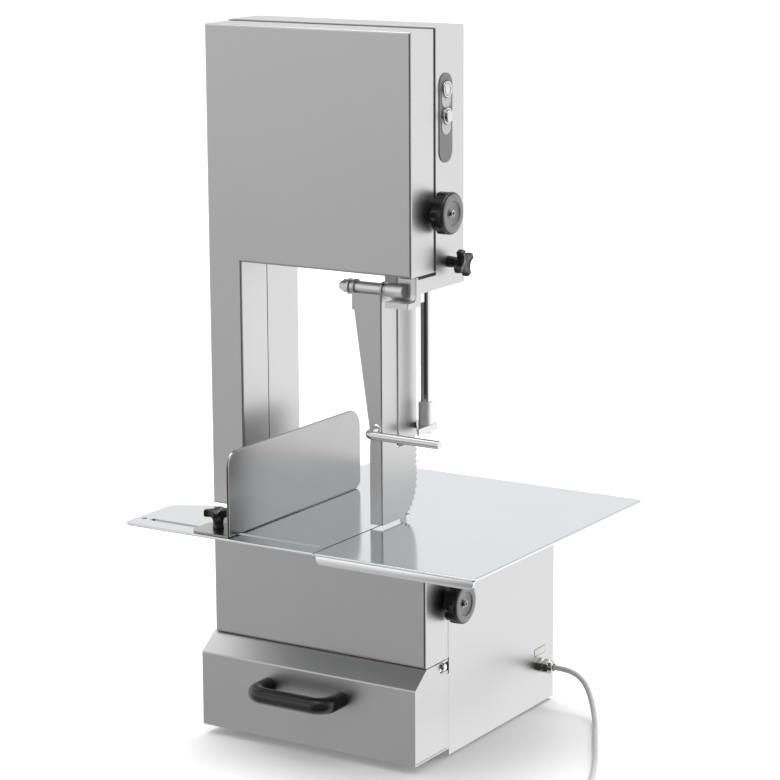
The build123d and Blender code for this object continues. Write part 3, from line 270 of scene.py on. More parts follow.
def steel(name, dark, light, rough_low, rough_high, grain=(1, 1, 1), grain_scale=900.0,
          bump=0.06):
    """Ground stainless steel: fine directional grain, faint smudges and a soft sheen."""
    n = Nodes(name)
    n.set(Metallic=1.0)
    grains = n.noise(grain_scale, detail=4.0, roughness=0.6, stretch=grain)
    clouds = n.noise(SMUDGE_SCALE, detail=5.0, roughness=0.6)
    both = n.mix_values(clouds, grains, GRAIN_SHARE)
    n.link(n.tint(n.spread(both, 0, 1, 0.45, 0.9), dark, light), n.shader.inputs["Base Color"])
    n.link(n.spread(both, rough_low, rough_high, 0.4, 0.95), n.shader.inputs["Roughness"])
    n.bump(grains, bump, 0.0003)
    return n.material


def plastic(name, dark, light, rough_low, rough_high, bump=0.12, scale=1600.0,
            specular=0.5):
    """Moulded plastic or rubber with a fine texture and slight wear."""
    n = Nodes(name)
    fine = n.noise(scale, detail=2.0)
    clouds = n.noise(40.0, detail=4.0)
    both = n.mix_values(clouds, fine, 0.3)
    n.link(n.tint(n.spread(both, 0, 1, 0.4, 0.9), dark, light), n.shader.inputs["Base Color"])
    n.link(n.spread(clouds, rough_low, rough_high), n.shader.inputs["Roughness"])
    n.shader.inputs["Specular IOR Level"].default_value = specular
    n.bump(fine, bump, 0.0002)
    return n.material


def grey(value):
    return (value, value, value * 1.005)


MATERIALS = {
    "satin_steel": steel("satin_steel", grey(0.42), grey(0.445), 0.34, 0.40,
                         grain=(1.0, 1.0, 0.03), grain_scale=1500.0, bump=0.02),
    # these copies of steel paint light and shade: the fence's is darker (painted shade); the
    # guard's, collar's and hub's are lighter (painted light)
    "fence_steel_painted_shade": steel("fence_steel_painted_shade", grey(0.29), grey(0.32), 0.20, 0.26,
                         grain=(0.03, 1.0, 1.0), grain_scale=1500.0, bump=0.02),
    "guard_steel_painted_light": steel("guard_steel_painted_light", grey(0.56), grey(0.60), 0.48, 0.54,
                         grain=(1.0, 1.0, 0.03), grain_scale=1500.0, bump=0.02),
    "collar_steel_painted_light": steel("collar_steel_painted_light", grey(0.66), grey(0.72), 0.46, 0.54, bump=0.03),
    "hub_steel_painted_light": steel("hub_steel_painted_light", grey(0.60), grey(0.66), 0.40, 0.48, bump=0.04),
    # a bright copy of steel, used only for the painted highlight on the table lip
    "fold_highlight_steel": steel("fold_highlight_steel", grey(0.80), grey(0.86), 0.30, 0.38, bump=0.02),
    "table_steel": steel("table_steel", (0.515, 0.525, 0.535), (0.545, 0.555, 0.565), 0.10, 0.14,
                         grain=(0.03, 1.0, 1.0), grain_scale=1500.0, bump=0.01),
    "polished_steel": steel("polished_steel", grey(0.50), grey(0.57), 0.09, 0.15, bump=0.01),
    "machined_steel": steel("machined_steel", grey(0.44), grey(0.52), 0.16, 0.26,
                            grain=(0.05, 1.0, 1.0), bump=0.05),
    "band_steel": steel("band_steel", grey(0.34), grey(0.44), 0.22, 0.34,
                        grain=(1.0, 1.0, 0.04), bump=0.05),
    "cast_aluminium": steel("cast_aluminium", grey(0.50), grey(0.58), 0.34, 0.48,
                            grain_scale=500.0, bump=0.10),
    "zinc_plate": steel("zinc_plate", (0.42, 0.43, 0.42), (0.52, 0.53, 0.50), 0.30, 0.45,
                        grain_scale=160.0, bump=0.03),
    "nickel": steel("nickel", (0.43, 0.425, 0.41), (0.51, 0.505, 0.49), 0.11, 0.18, bump=0.01),
    "motor_paint": plastic("motor_paint", (0.05, 0.07, 0.09), (0.08, 0.10, 0.13), 0.35, 0.5,
                           scale=700.0),
    "black_plastic": plastic("black_plastic", (0.006, 0.006, 0.006), (0.013, 0.013, 0.013),
                             0.13, 0.20, bump=0.03, specular=0.36),
    "grey_plastic": plastic("grey_plastic", (0.062, 0.062, 0.063), (0.078, 0.078, 0.079),
                            0.27, 0.34, bump=0.03, specular=0.9),
    "black_rubber": plastic("black_rubber", (0.006, 0.006, 0.006), (0.014, 0.014, 0.014),
                            0.55, 0.75, specular=0.3),
    "panel_grey": plastic("panel_grey", (0.115, 0.117, 0.115), (0.135, 0.137, 0.135), 0.42, 0.52,
                          bump=0.04),
    "button_grey": steel("button_grey", grey(0.42), grey(0.47), 0.16, 0.24, bump=0.02),
    "label_grey": plastic("label_grey", (0.40, 0.40, 0.395), (0.45, 0.45, 0.445), 0.45, 0.55,
                          bump=0.03),
    "label_pale": plastic("label_pale", (0.60, 0.59, 0.55), (0.66, 0.65, 0.61), 0.35, 0.45,
                          bump=0.03),
    "label_ink": plastic("label_ink", (0.05, 0.05, 0.05), (0.08, 0.08, 0.08), 0.40, 0.50,
                         bump=0.03),
    "cord_grey": plastic("cord_grey", (0.44, 0.44, 0.44), (0.54, 0.54, 0.54), 0.36, 0.48,
                         scale=900.0, bump=0.05),
    "plug_grey": plastic("plug_grey", (0.40, 0.40, 0.40), (0.50, 0.50, 0.50), 0.38, 0.48,
                         bump=0.06),
}


def nylon():
    n = Nodes("white_nylon")
    n.set(Roughness=0.38)
    n.shader.inputs["Subsurface Weight"].default_value = 0.35
    n.shader.inputs["Subsurface Radius"].default_value = (0.006, 0.006, 0.006)
    clouds = n.noise(60.0, detail=3.0)
    n.link(n.tint(n.spread(clouds, 0, 1), (0.70, 0.70, 0.69), (0.80, 0.80, 0.79)),
           n.shader.inputs["Base Color"])
    n.bump(n.noise(1200.0), 0.05, 0.0002)
    return n.material


MATERIALS["white_nylon"] = nylon()

# nodes given lighter or darker copies of their record slot's steel: painted light and painted
# shade for how light falls on them
OWN_MATERIALS = {"fence_plate": "fence_steel_painted_shade", "blade_guard": "guard_steel_painted_light",
                 "post_collar": "collar_steel_painted_light", "pusher_sleeve": "hub_steel_painted_light",
                 "pivot_shaft": "hub_steel_painted_light", "hook_bracket": "hub_steel_painted_light"}


def dress_nodes():
    for node, piece in frame["nodes"].items():
        material = MATERIALS[OWN_MATERIALS.get(node, node_slot(node))]
        piece.data.materials.clear()
        piece.data.materials.append(material)


# ---------------------------------------------------------------- cord and plug
CORD_DIAMETER = 0.0076
CORD_FLOOR = CORD_DIAMETER / 2 - 0.005
GLAND_MOUTH = (0.3577, 0.310, 0.056)
CORD_ROUTE = [
    GLAND_MOUTH, (0.375, 0.310, 0.056), (0.3915, 0.3095, 0.053), (0.405, 0.3075, 0.0455),
    (0.415, 0.304, 0.0345), (0.423, 0.298, 0.0235), (0.431, 0.289, 0.0135),
    (0.440, 0.276, 0.0055), (0.450, 0.259, 0.0004), (0.461, 0.238, CORD_FLOOR),
    (0.478, 0.205, CORD_FLOOR), (0.499, 0.166, CORD_FLOOR), (0.519, 0.125, CORD_FLOOR),
    (0.537, 0.084, CORD_FLOOR), (0.551, 0.044, CORD_FLOOR), (0.556, 0.004, CORD_FLOOR),
]
TAIL_ROUTE = [(0.584, -0.0855, CORD_FLOOR), (0.603, -0.102, CORD_FLOOR)]
COIL_CENTRE = (0.600, -0.035)
COIL_OUTER = 0.046
COIL_INNER = 0.0384
COIL_START = math.pi     # the angle at which the cord joins the coil
COIL_STEPS = 16          # control points in each turn
COIL_TURNS = 5.125
# (turn number where it holds, radius, layer): outer and inner on the floor, then up two layers
COIL_STATIONS = [
    (0.0, COIL_OUTER, 0.0), (0.8, COIL_OUTER, 0.0), (1.1, COIL_INNER, 0.0),
    (1.7, COIL_INNER, 0.0), (2.1, COIL_INNER, 1.0), (2.6, COIL_INNER, 1.0),
    (2.95, COIL_OUTER, 1.0), (3.4, COIL_OUTER, 1.0), (3.75, COIL_OUTER, 2.0),
    (4.3, COIL_OUTER, 2.0), (COIL_TURNS, COIL_OUTER, 0.0),
]


def blend_stations(stations, at):
    """The radius and layer at a turn number, eased between the stations on either side."""
    for (t0, r0, l0), (t1, r1, l1) in zip(stations, stations[1:]):
        if t0 <= at <= t1:
            share = (at - t0) / (t1 - t0)
            share = share * share * (3 - 2 * share)
            return r0 + (r1 - r0) * share, l0 + (l1 - l0) * share
    return stations[-1][1:]


def dress_cord():
    """The mains cord as one curve: from the gland to the floor, round the coil, to the plug."""
    points = [Vector(p) for p in CORD_ROUTE]
    for k in range(int(COIL_TURNS * COIL_STEPS) + 1):
        at = k / COIL_STEPS
        radius, layer = blend_stations(COIL_STATIONS, at)
        angle = COIL_START + 2 * math.pi * at
        points.append(Vector((
            COIL_CENTRE[0] + radius * math.cos(angle),
            COIL_CENTRE[1] + radius * math.sin(angle),
            CORD_FLOOR + layer * CORD_DIAMETER,
        )))
    points += [Vector(p) for p in TAIL_ROUTE]
    curve = bpy.data.curves.new("mains_cord", "CURVE")
    curve.dimensions = "3D"
    spline = curve.splines.new("NURBS")
    spline.points.add(len(points) - 1)
    for control, point in zip(spline.points, points):
        control.co = (*(point + DATUM), 1)
    spline.order_u = 3
    spline.use_endpoint_u = True
    curve.bevel_depth = CORD_DIAMETER / 2
    curve.bevel_resolution = 6
    curve.resolution_u = 8
    curve.use_fill_caps = True
    piece = bpy.data.objects.new("mains_cord", curve)
    bpy.context.scene.collection.objects.link(piece)
    curve.materials.append(MATERIALS["cord_grey"])
    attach(piece, "frame")
    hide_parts("cord_lead", "cord_coil")


# -------------------------------------------------------------- detailed pieces
# lengths in this section are in mm
LOCK_KNOB_R = 27.5
LOCK_FLUTES = 9
FLUTE_AWAY = 31.1        # from the knob's axis to the middle of a flute
FLUTE_R = 6.9
FLUTE_TURN = math.radians(10)
CAP_DEPTH = 5.0          # how far behind the cap's front each piece of the knob starts
NUT_DEPTH = 3.8
STUD_DEPTH = 1.9


def lock_knobs():
    """Two fluted knobs, each with a dished grey insert and a plated nut."""
    outline = hollowed(LOCK_KNOB_R, LOCK_FLUTES, FLUTE_AWAY, FLUTE_R, FLUTE_TURN)
    body = [(14.2, 0.0), (15.0, 0.5), (15.0, 5.0), (15.6, 5.5), (24.6, 5.6, 1), (26.2, 5.9, 1),
            (27.2, 6.8, 1), (27.5, 8.2, 1), (27.5, 16.5, 1), (27.5, 18.6, 0.9), (27.5, 20.4, 0.55),
            (27.5, 21.6, 0.2), (27.5, 22.6, 0.0), (27.2, 24.0), (26.5, 25.1), (25.5, 25.6),
            (25.15, 25.5), (25.0, 25.1), (25.0, 21.5), (12.0, 21.4), (0.5, 21.4)]
    insert = [(0.5, 0.0), (24.4, 0.0), (24.9, 0.4), (24.9, 4.3), (24.6, 4.8), (24.0, 5.0),
              (20.0, 5.0), (16.6, 5.0), (16.3, 4.9), (16.0, 4.5), (15.6, 3.7), (14.6, 3.1),
              (13.0, 2.55), (10.5, 1.95), (8.0, 1.55), (6.0, 1.35), (4.9, 1.3), (0.5, 1.2)]
    nut_outline = hexagonal(0.97)
    nut = [(0.4, 0.0), (5.2, 0.0), (5.2, 0.7), (4.3, 0.8), (4.5, 0.9, 1), (4.75, 1.2, 1),
           (4.75, 3.2, 1), (4.3, 3.6, 0.8), (3.4, 3.7), (2.9, 3.5), (2.7, 3.0), (0.4, 2.9)]
    stud = [(0.3, 0.0), (2.5, 0.0), (2.5, 1.2), (2.2, 1.6), (1.2, 1.8), (0.3, 1.85)]
    for side in ("upper", "lower"):
        knob = side + "_lock_knob"
        spot = in_datum(middle(knob))
        base = in_datum(low(knob)).x
        front = in_datum(high(side + "_lock_cap")).x
        pieces = [
            turned(knob + "_grip", body, facing_x(base, spot.y, spot.z), outline, 216),
            turned(side + "_lock_insert", insert,
                   facing_x(front - CAP_DEPTH, spot.y, spot.z), None, 96),
            turned(side + "_lock_nut", nut,
                   facing_x(front - NUT_DEPTH, spot.y, spot.z), nut_outline, 72),
            turned(side + "_lock_stud_end", stud,
                   facing_x(front - STUD_DEPTH, spot.y, spot.z)),
        ]
        # the stud end in black plastic and the nut in the darker band steel paint the shade of the
        # knob's central hollow
        slots = ("black_plastic", "grey_plastic", "band_steel", "black_plastic")
        for piece, slot in zip(pieces, slots):
            finish_piece(piece, side + "_lock", MATERIALS[slot])
        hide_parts(knob)
        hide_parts(side + "_lock_cap")


LOBED_R = 19.0
LOBES = 4
LOBE_HOLLOW_AWAY = 22.6
LOBE_HOLLOW_R = 12.7


def four_lobe(name, neck, head, place, turn):
    """A four-lobed knob on a neck, its lobes turned by so many degrees."""
    outline = hollowed(LOBED_R, LOBES, LOBE_HOLLOW_AWAY, LOBE_HOLLOW_R, math.radians(turn + 45))
    shoulder = [(7.0, 0.0), (7.5, 0.4), (7.5, neck * 0.2), (7.0, neck * 0.26), (7.0, neck * 0.62),
                (8.0, neck * 0.86), (9.6, neck)]
    top = neck + head
    lobes = [(15.6, neck + 0.1, 1), (17.6, neck + 0.4, 1), (18.6, neck + 1.2, 1),
             (19.0, neck + 2.6, 1), (19.0, top - 3.0, 1), (18.7, top - 1.6, 1),
             (18.0, top - 0.6, 1), (16.8, top - 0.1, 1), (15.0, top - 0.3, 1),
             (11.0, top - 0.8, 1), (6.0, top - 1.2, 1), (1.0, top - 1.3, 1)]
    return turned(name, shoulder + lobes, place, outline, 240)


THREAD_PITCH = 0.9
THREAD_ROOT = 0.88       # the radius between two crests, as a share of the crests'


def threaded(name, radius, length, place):
    """A fine screw thread, drawn as close rings."""
    stations = [(radius * 0.6, 0.0), (radius * 0.85, 0.4)]
    height = 0.8
    while height < length - 0.5:
        stations += [(radius, height), (radius * THREAD_ROOT, height + THREAD_PITCH / 2)]
        height += THREAD_PITCH
    return turned(name, stations + [(radius * 0.85, length)], place, None, 32)


def small_knobs():
    """The post's clamp knob and the fence's knob, with their screws."""
    spot, low_end = in_datum(middle("clamp_knob")), in_datum(low("clamp_knob"))
    face = in_datum(high("clamp_knob")).x
    neck, head = 15.4, 11.0
    start = face - neck - head
    knob = four_lobe("clamp_knob_grip", neck, head, facing_x(start, spot.y, spot.z), 26.0)
    finish_piece(knob, "clamp", MATERIALS["black_plastic"])
    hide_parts("clamp_knob")
    screw = threaded("clamp_screw", 4.0, start + 2 - low_end.x,
                     facing_x(low_end.x, spot.y, spot.z))
    finish_piece(screw, "clamp", MATERIALS["machined_steel"])

    spot, low_end = in_datum(middle("fence_knob")), in_datum(low("fence_knob"))
    top = in_datum(high("fence_knob")).z
    neck, head = 15.0, 10.0
    start = top - neck - head
    place = Matrix.Translation(Vector((spot.x, spot.y, start)) * MM + DATUM)
    knob = four_lobe("fence_knob_grip", neck, head, place, 25.0)
    finish_piece(knob, "fence_clamp", MATERIALS["black_plastic"])
    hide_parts("fence_knob")
    place = Matrix.Translation(Vector((spot.x, spot.y, low_end.z)) * MM + DATUM)
    stud = threaded("fence_stud", 3.0, start + 4 - low_end.z, place)
    finish_piece(stud, "fence_clamp", MATERIALS["machined_steel"])
    flange = [(2.0, 0.0), (7.5, 0.0), (8.0, 0.5), (8.0, 4.6), (7.6, 5.2), (4.2, 5.4), (4.2, 8.2),
              (3.2, 8.4)]
    nut = turned("fence_tee_nut", flange, place)
    finish_piece(nut, "fence_clamp", MATERIALS["machined_steel"])


def label_pad(name, x, button, thick):
    """A blank pad that hangs below a button's ring and is open round the button itself."""
    y, z = button
    outer_r, hole_r, drop = 10.9, 8.6, 13.1
    ring = []
    for step in range(25):
        angle = math.radians(180 + 180 * step / 24)
        ring.append((y + outer_r * math.cos(angle), z - drop + outer_r * math.sin(angle)))
    ring.append((y + outer_r, z - 1))
    for step in range(25):
        angle = math.radians(-7 - 166 * step / 24)
        ring.append((y + hole_r * math.cos(angle), z + hole_r * math.sin(angle)))
    ring.append((y - outer_r, z - 1))
    rings = [[((x + up) * MM, py * MM, pz * MM) for py, pz in ring] for up in (0.0, thick)]
    return rings_to_piece(name, rings, Matrix.Translation(DATUM))


RING_SEAT = 3.3          # how far a ring's foot is behind the panel's highest point
PAD_THICK = 0.8


def push_buttons():
    """Plated rings and caps on the pill-shaped plate, each above a small blank label."""
    ring = [(10.9, 0.0), (11.15, 0.4), (11.15, 2.2), (10.7, 3.0), (9.9, 3.4), (9.0, 3.5),
            (8.4, 3.2), (8.1, 2.4), (8.1, 0.0), (10.9, 0.0)]
    flush = [(3.0, 0.0), (3.0, 8.2), (8.0, 8.4), (8.0, 13.2), (7.7, 13.8), (7.1, 14.0),
             (6.5, 13.7), (6.0, 13.3), (5.6, 13.5), (3.0, 13.9), (0.4, 14.0)]
    proud = [(3.0, 0.0), (3.0, 5.0), (8.0, 5.2), (8.0, 15.8), (7.7, 16.5), (7.1, 16.9),
             (5.0, 17.0), (0.4, 17.0)]
    for name, stations in (("start", flush), ("stop", proud)):
        node = name + "_button"
        spot, back = in_datum(middle(node)), in_datum(low(node)).x
        cap = turned(name + "_cap", stations, facing_x(back, spot.y, spot.z))
        finish_piece(cap, name, MATERIALS["button_grey"])
        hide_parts(node)
        face = in_datum(high("button_panel")).x - RING_SEAT
        bezel = turned(name + "_bezel", ring, facing_x(face, spot.y, spot.z), closed=False)
        finish_piece(bezel, "frame", MATERIALS["polished_steel"])
        label = label_pad(name + "_label", face, (spot.y, spot.z), PAD_THICK)
        finish_piece(label, "frame", MATERIALS["label_grey"])


RATING_CENTRE = (309.5, 76.5)


def rating_label():
    """A blank plate with a dark rim beside the cable gland."""
    wall = in_datum(high("base_housing")).x
    rim = side_label("label_rim", wall, RATING_CENTRE, (15.5, 5.5), 0.8, 0.25)
    finish_piece(rim, "frame", MATERIALS["label_ink"])
    face = side_label("label_face", wall + 0.2, RATING_CENTRE, (14.7, 4.7), 0.5, 0.15)
    finish_piece(face, "frame", MATERIALS["label_pale"])


HEX_CLIP = 0.985         # the gland's hexagons, clipped at the corners
LOCKNUT_DEPTH = 8.0      # how far inside the wall's outer face the locknut starts


def cable_gland():
    """A plated gland: flanged hexagon, clamping hexagon, domed mouth and rubber seal."""
    spot = in_datum(middle("cable_gland"))
    wall = in_datum(high("base_housing")).x
    inner = in_datum(low("cable_gland")).x
    place = facing_x(wall, spot.y, spot.z)
    shell = [(10.2, 0.0, 1), (10.7, 0.4, 1), (10.9, 1.0, 1), (10.9, 6.0, 1), (10.4, 6.8, 0.9),
             (9.3, 7.0), (8.6, 7.1), (8.6, 8.4), (9.4, 8.5), (10.5, 8.7, 0.9), (10.9, 9.4, 1),
             (10.9, 16.0, 1), (10.5, 16.7, 0.9), (9.5, 17.1), (9.3, 17.6), (9.2, 18.8),
             (8.9, 20.2), (8.2, 21.6), (7.1, 22.6), (6.2, 22.9), (5.5, 22.9), (5.0, 22.5),
             (4.9, 20.0), (4.9, 6.0)]
    body = turned("gland_body", shell, place, hexagonal(HEX_CLIP), 144)
    finish_piece(body, "frame", MATERIALS["nickel"], smooth=28)
    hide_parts("cable_gland")
    seal = [(4.85, 19.0), (4.85, 22.2), (4.6, 22.8), (4.2, 23.0), (3.9, 22.8), (3.85, 22.0),
            (3.85, 19.0)]
    ring = turned("gland_seal", seal, place)
    finish_piece(ring, "frame", MATERIALS["black_rubber"])
    screw = threaded("gland_thread", 8.0, wall - inner, facing_x(inner, spot.y, spot.z))
    finish_piece(screw, "frame", MATERIALS["nickel"])
    ring_nut = [(8.2, 0.0), (11.6, 0.1, 1), (12.6, 0.7, 1), (12.6, 4.6, 1), (11.6, 5.2, 1),
                (8.2, 5.3)]
    nut = turned("gland_locknut", ring_nut, facing_x(wall - LOCKNUT_DEPTH, spot.y, spot.z),
                 hexagonal(HEX_CLIP), 72)
    finish_piece(nut, "frame", MATERIALS["nickel"])


BAND_THICK = 0.6
TOOTH_PITCH = 7.0        # about: a whole number of teeth goes round
TOOTH_DEPTH = 2.6


def toothed_band():
    """The saw band: a thin loop over both wheels with raked teeth along its front edge."""
    top, bottom = in_datum(middle("upper_wheel")).z, in_datum(middle("lower_wheel")).z
    lowest, highest = in_datum(low("blade")), in_datum(high("blade"))
    centre = (lowest.x + highest.x) / 2
    outer = (highest.x - lowest.x) / 2
    half_thick = BAND_THICK / 2
    middle_r = outer - half_thick
    run, bend = top - bottom, math.pi * middle_r
    total = 2 * (run + bend)
    teeth = int(total / TOOTH_PITCH)
    root, tip, back = lowest.y + TOOTH_DEPTH, lowest.y, highest.y

    def at(distance):
        """The point and outward direction at a distance along the loop, from the right."""
        distance %= total
        if distance < run:
            return (centre + middle_r, bottom + distance), (1, 0)
        distance -= run
        if distance < bend:
            angle = distance / middle_r
            way = (math.cos(angle), math.sin(angle))
            return (centre + middle_r * way[0], top + middle_r * way[1]), way
        distance -= bend
        if distance < run:
            return (centre - middle_r, top - distance), (-1, 0)
        angle = math.pi + (distance - run) / middle_r
        way = (math.cos(angle), math.sin(angle))
        return (centre + middle_r * way[0], bottom + middle_r * way[1]), way

    rings = []
    pitch = total / teeth
    for k in range(teeth):
        for share, front in ((0.0, root), (0.28, root + 0.5), (0.9, tip)):
            (x, z), (nx, nz) = at((k + share) * pitch)
            outer_x, outer_z = x + nx * half_thick, z + nz * half_thick
            inner_x, inner_z = x - nx * half_thick, z - nz * half_thick
            rings.append([(outer_x, front, outer_z), (outer_x, back, outer_z),
                          (inner_x, back, inner_z), (inner_x, front, inner_z)])
    vertices = [Vector(v) * MM + DATUM for ring in rings for v in ring]
    faces = []
    for i in range(len(rings)):
        for j in range(4):
            here, there = i * 4, (i + 1) % len(rings) * 4
            faces.append((here + j, here + (j + 1) % 4, there + (j + 1) % 4, there + j))
    piece = new_mesh("saw_band", vertices, faces)
    finish_piece(piece, "frame", MATERIALS["band_steel"], smooth=20)
    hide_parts("blade")


def edge_strip(name, path, levels):
    """A thin strip on the outside of an (x, z) path in mm, with (y, height) levels across."""
    normals = []
    for (x0, z0), (x1, z1) in zip(path, path[1:]):
        length = math.hypot(x1 - x0, z1 - z0)
        normals.append(Vector((-(z1 - z0) / length, (x1 - x0) / length)))
    rings = []
    for k, point in enumerate(path):
        before, after = normals[max(k - 1, 0)], normals[min(k, len(normals) - 1)]
        mitre = (before + after) / (1 + before.dot(after))
        rings.append([((point[0] + mitre.x * height) * MM, y * MM,
                       (point[1] + mitre.y * height) * MM) for y, height in levels])
    return rings_to_piece(name, rings, Matrix.Translation(DATUM))


EDGING_WIDE = {"upper": 5.0, "lower": 2.0}
EDGING_REACH = 1.4       # how far it goes past the door's rear edge
EDGING_THICK = 0.35
EDGING_BEVEL = 0.3
EDGING_END = 1.5         # how far its ends stay from the door's own
STUD_GAP = 9.0           # open on either side of a lock stud
UPPER_LEDGE = 651.0      # where the upper door's edging ends, above the column
CHEEK_INSET = 0.8        # how far the drawer's cheeks sit behind the base's side
WEDGE_WIDE = 9.0


def door_edging():
    """Edging on the rear edges of both doors, open at the lock studs; the upper door's edging is
    black, a painted shade line along its top and rear bends.
    """
    for side in ("upper", "lower"):
        door = side + "_door"
        near, far = in_datum(low(door)), in_datum(high(door))
        stud = in_datum(middle(side + "_lock_knob")).z
        back = far.y + EDGING_REACH
        front = back - EDGING_WIDE[side]
        thick = EDGING_THICK
        levels = ((front, 0.0), (front, thick * 0.6), (front + EDGING_BEVEL, thick),
                  (back - EDGING_BEVEL, thick), (back, thick * 0.6), (back, 0.0))
        foot = UPPER_LEDGE if side == "upper" else near.z + EDGING_END
        above = [(near.x + EDGING_END, far.z), (far.x, far.z), (far.x, stud + STUD_GAP)]
        below = [(far.x, stud - STUD_GAP), (far.x, foot)]
        # the upper strip is black: painted shade along the door's top and rear bends; the lower
        # one is the door's own steel
        slot = "black_rubber" if side == "upper" else "satin_steel"
        for name, path in (("above", above), ("below", below)):
            strip = edge_strip(f"{side}_door_edging_{name}", path, levels)
            finish_piece(strip, door, MATERIALS[slot])


def drawer_edging():
    """A wedge that brings the drawer's cheek out to the base's side along its rear edge."""
    cover_low, cover_high = in_datum(low("drawer_front")), in_datum(high("drawer_front"))
    notch = in_datum(low("drawer_studs")).z - 0.5
    cheek, back = cover_high.x - CHEEK_INSET, cover_high.y
    levels = ((back - WEDGE_WIDE, 0.0), (back - WEDGE_WIDE + 0.2, 0.03),
              (back - 0.2, CHEEK_INSET), (back + 0.3, CHEEK_INSET), (back + 0.3, 0.0))
    path = [(cheek, notch), (cheek, cover_low.z + EDGING_END)]
    strip = edge_strip("drawer_edging", path, levels)
    finish_piece(strip, "drawer", MATERIALS["satin_steel"])


# the strip below paints a highlight on the table's front fold
FOLD_LEFT = 256.5
FOLD_FACE = -137.4       # the lip's front face
FOLD_END = 2.0           # how far the strip ends before the table does
FOLD_TOP = 3.2           # below the table's top
FOLD_BOTTOM = 13.4
FOLD_CORNER = 7.0


def lip_painted_highlight():
    """A bright rounded strip on the table lip's face, right of the slot: a painted highlight on
    the front fold.
    """
    highest = in_datum(high("table"))
    left, right = FOLD_LEFT, highest.x - FOLD_END
    top, bottom, corner = highest.z - FOLD_TOP, highest.z - FOLD_BOTTOM, FOLD_CORNER
    ring = [(left, top), (right, top)]
    for start, centre in ((0, (right - corner, bottom + corner)),
                          (-90, (left + corner, bottom + corner))):
        for step in range(9):
            angle = math.radians(start - 90 * step / 8)
            ring.append((centre[0] + corner * math.cos(angle),
                         centre[1] + corner * math.sin(angle)))
    levels = ((0.0, 0.0), (0.0, 0.25), (0.25, 0.4))
    middle_x, middle_z = (left + right) / 2, (top + bottom) / 2
    rings = []
    for inset, out in levels:
        rings.append([((x - math.copysign(inset, x - middle_x)) * MM, (FOLD_FACE - out) * MM,
                       (z - math.copysign(inset, z - middle_z)) * MM) for x, z in ring])
    piece = rings_to_piece("table_fold_highlight", rings, Matrix.Translation(DATUM))
    finish_piece(piece, "frame", MATERIALS["fold_highlight_steel"])


WELD_X = 256.0
WELD_Z = 445.5
WELD_RIPPLES = 14
RIPPLE_DEPTH = 0.035


def weld_bead():
    """The rippled weld where the pusher's bar meets its web."""
    root = in_datum(high("pusher_handle"))

    def beads(angle):
        return 1 - RIPPLE_DEPTH * (1 + math.cos(WELD_RIPPLES * angle))

    stations = [(5.3, 3.0), (5.9, 2.6, 0.5), (6.7, 1.9, 1), (7.4, 1.0, 1), (7.7, 0.2, 1),
                (7.5, 0.0, 1), (5.0, 0.0)]
    place = axis_frame(Vector((WELD_X, root.y, WELD_Z)) * MM + DATUM, (0, -1, 0))
    bead = turned("bar_weld", stations[::-1], place, beads, 112)
    finish_piece(bead, "pusher", MATERIALS["machined_steel"])


# --------------------------------------------------------------- stage and light
FLOOR_HALF = 60.0        # this section is in metres
LIGHT_TARGET = (0, 0, 0.45)
SOFTBOX_PLACE = (-0.2, 0.1, 3.4)
SOFTBOX_SIZE = (2.6, 2.2)
TOP_POWER = 45
FRONT_SHADE = 0.92
BACK_GLOW = 1.80
OVERHEAD_GLOW = 0.8
BEND_SHADE = 0.45        # how much darker the surround is from about 20 to 50 degrees up
DARKEST = 0.04
UNDER_SHADE = 0.25
BRIGHT_SIDE = (0.53, 0.85, 0)
DARK_SIDE = (0.60, -0.79, -0.12)
DARK_DEPTH = 1.15
BACK_LEFT = (-0.52, 0.83, 0.20)
BACK_LEFT_SHADE = 0.42
CAMERA_PLACE = Vector((2.0785, -2.8856, 1.2285)) + DATUM
CAMERA_AZIMUTH = math.radians(31.924)
CAMERA_ELEVATION = math.radians(12.067)
CAMERA_ROLL = math.radians(-0.309)
CAMERA_LENS = 124.92
CAMERA_SHIFT = 0.0016


def stage():
    """A pale floor, wide enough to look seamless, that glossy rays don't see."""
    half = FLOOR_HALF
    corners = [(-half, -half), (half, -half), (half, half), (-half, half)]
    floor = new_mesh("floor", [(x, y, FLOOR_Z) for x, y in corners], [(0, 1, 2, 3)])
    n = Nodes("floor_white")
    n.set(Roughness=0.9)
    n.shader.inputs["Specular IOR Level"].default_value = 0.0
    n.link(n.tint(n.noise(0.6), (0.93, 0.93, 0.93), (0.95, 0.95, 0.95)),
           n.shader.inputs["Base Color"])
    floor.data.materials.append(n.material)
    floor.visible_glossy = False


def soft_light(name, place, aim, size, power):
    """A white rectangular area light that the camera doesn't see."""
    data = bpy.data.lights.new(name, "AREA")
    data.shape = "RECTANGLE"
    data.size, data.size_y = size
    data.energy = power
    lamp = bpy.data.objects.new(name, data)
    bpy.context.scene.collection.objects.link(lamp)
    lamp.location = place
    lamp.rotation_euler = (Vector(aim) - Vector(place)).to_track_quat("-Z", "Y").to_euler()
    lamp.visible_camera = False


